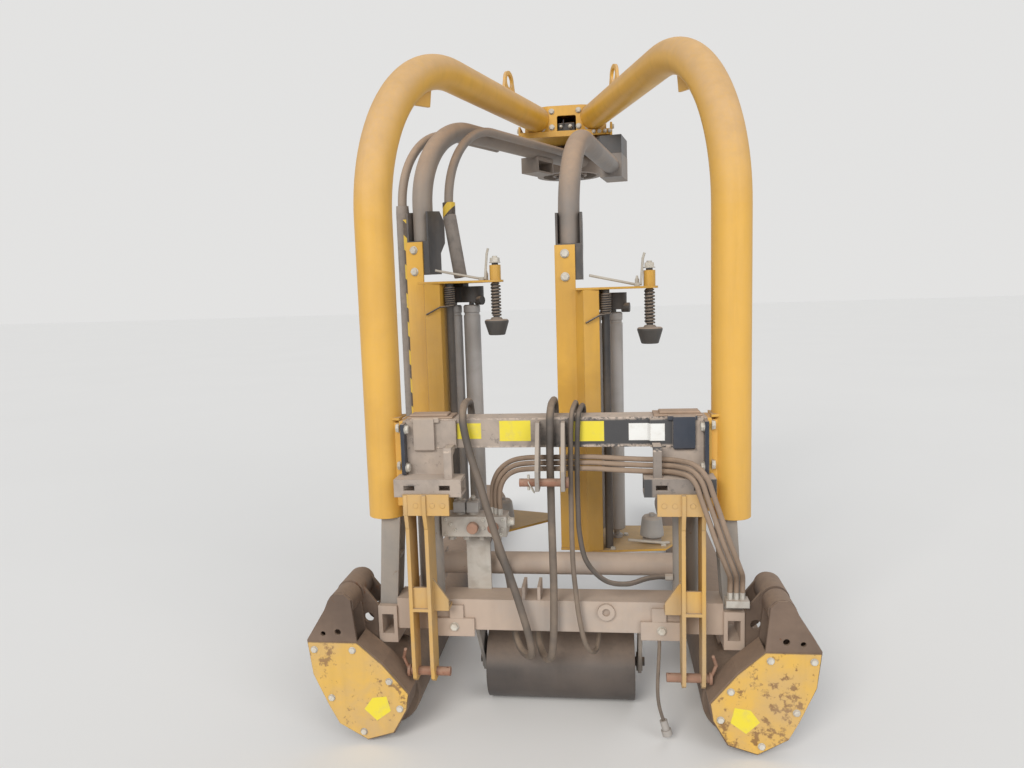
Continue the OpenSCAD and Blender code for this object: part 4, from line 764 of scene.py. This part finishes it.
# Film dispensers: bolts, blank labels, springs of the upper cone and of the roller drive
for side in (1, -1):
    body, place, word = BODY[side], MAST[side], SIDE[side]
    k = Kit("bolts_mast_" + word, body, "bolt", "zinc", place)
    for z in (1540, 1460):
        k.bolt((0, 0, z), FRONT, 15)
    k.nut((293, 85, 1483), UP, 20)
    for x, y in ((150, -10), (200, 150)):
        k.bolt((x, y, 488), UP, 10)
    k.done()
    k = Kit("labels_mast_" + word, body, "label", "yellow_paint", place)
    k.plate((48, -19, 1352), (28, -45, 0), (0, 0, 1), [(-18, -32), (18, -32), (18, 32), (-18, 32)], -0.7)
    k.done()
    k = Kit("springs_" + word, body, "black", "dark_paint", place)
    k.coil((293, 85, 1290), 16.2, 3.4, 11.8, 9.9)
    k.done()
    k = Kit("torsion_spring_" + word, body, "black", "dark_paint", place)
    k.coil((138, 10, 1332), 17.2, 3.3, 8, 8.2)
    k.tube([(138 + 17, 10, 1330), (150, -20, 1328), (120, -34, 1326), (70, -50, 1300)], 3)
    k.done()

# Roller arms: bolts and blank labels of the cover plates
for side in (1, -1):
    k = Kit("bolts_cover_" + SIDE[side], CASE_BODY[side], "bolt", "zinc", PIVOT[side])
    for x, z in ((-88, -140), (36, -140), (-40, -300), (150, -240), (60, -410), (180, -330)):
        k.bolt((x, -5, z), FRONT, 11, 5)
    k.done()
    k = Kit("label_cover_" + SIDE[side], CASE_BODY[side], "label", "yellow_paint", PIVOT[side])
    pentagon = [(0, -42), (46, -8), (34, 40), (-12, 34), (-40, -4)]
    k.plate((105, -5, -330), (1, 0, 0), (0, 0, 1), pentagon, 0.7)
    k.done()

# Safety bars of the folding arm: a foam sleeve on each, tape on the inner one
outer_bar = (ARM_OFF[-1] - 100, -ARM_REACH[-1])
inner_bar = (ARM_OFF[-1] + 79, -ARM_REACH[-1] + 60)
slope = Vector((38, 7, -237))
for name, finish, slot, base, axis, profile in (
        ("foam_outer_bar", "foam", "grey_plastic", (*outer_bar, 600), UP,
         [(24, 0), (25, 6), (24.4, 560), (25, 1130), (23.6, 1154)]),
        ("foam_inner_bar", "foam", "grey_plastic", (*inner_bar, 1712), slope,
         [(25, 6), (25.4, 12), (25, slope.length - 6), (23, slope.length)]),
        ("tape_inner_bar", "tape", "striped_paint", (*inner_bar, 1700), UP,
         [(24, 0), (24.2, 2), (24.2, 56), (23.4, 57)])):
    k = Kit(name, "folding_arm", finish, slot, ARM[-1])
    k.turned(base, axis, profile, 24)
    k.done()


# Floor, light and surroundings
def stage_material(name, colour):
    s = Shade(name, roughness=1.0, specular=0.0)
    tint = s.mix(s.noise(0.6, 2), colour, tuple(c * 0.97 for c in colour))
    return s.finish(tint)


def floor():
    mesh = bpy.data.meshes.new("floor")
    reach = 60
    corners = [(-reach, -reach, 0), (reach, -reach, 0), (reach, reach, 0), (-reach, reach, 0)]
    mesh.from_pydata(corners, [], [(0, 1, 2, 3)])
    mesh.materials.append(stage_material("floor_pale", (0.83, 0.825, 0.815)))
    obj = bpy.data.objects.new("floor", mesh)
    scene.collection.objects.link(obj)


def lamp(name, place, strength, angle, colour):
    """Soft distant lamp that shines from a place towards the object."""
    data = bpy.data.lights.new(name, "SUN")
    data.angle = math.radians(angle)
    data.energy = strength
    data.color = colour
    obj = bpy.data.objects.new(name, data)
    obj.location = place
    obj.rotation_euler = (-Vector(place)).to_track_quat("-Z", "Y").to_euler()
    scene.collection.objects.link(obj)


def surroundings():
    """Soft light on the object, and an even pale background for the camera and for reflections."""
    world = bpy.data.worlds.new("studio")
    scene.world = world
    world.use_nodes = True
    tree = world.node_tree
    lit = tree.nodes["Background"]
    lit.inputs["Color"].default_value = (0.93, 0.96, 1.0, 1)
    lit.inputs["Strength"].default_value = 0.42
    seen = tree.nodes.new("ShaderNodeBackground")
    seen.inputs["Color"].default_value = (0.768, 0.764, 0.756, 1)
    rays = tree.nodes.new("ShaderNodeLightPath")
    either, any_ray = (tree.nodes.new("ShaderNodeMath") for _ in range(2))
    either.operation = any_ray.operation = "MAXIMUM"
    mix = tree.nodes.new("ShaderNodeMixShader")
    link = tree.links.new
    link(rays.outputs["Is Camera Ray"], either.inputs[0])
    link(rays.outputs["Is Glossy Ray"], either.inputs[1])
    link(either.outputs[0], any_ray.inputs[0])
    link(rays.outputs["Is Transmission Ray"], any_ray.inputs[1])
    link(any_ray.outputs[0], mix.inputs[0])
    link(lit.outputs[0], mix.inputs[1])
    link(seen.outputs[0], mix.inputs[2])
    link(mix.outputs[0], tree.nodes["World Output"].inputs["Surface"])


floor()
surroundings()
lamp("key", (-1.8, -4.8, 3.0), 1.9, 28, (1.0, 0.97, 0.92))
lamp("fill", (3.6, -4.2, 2.4), 0.95, 40, (1.0, 0.98, 0.95))
lamp("back", (1.5, 5.0, 4.0), 0.45, 40, (0.95, 0.97, 1.0))
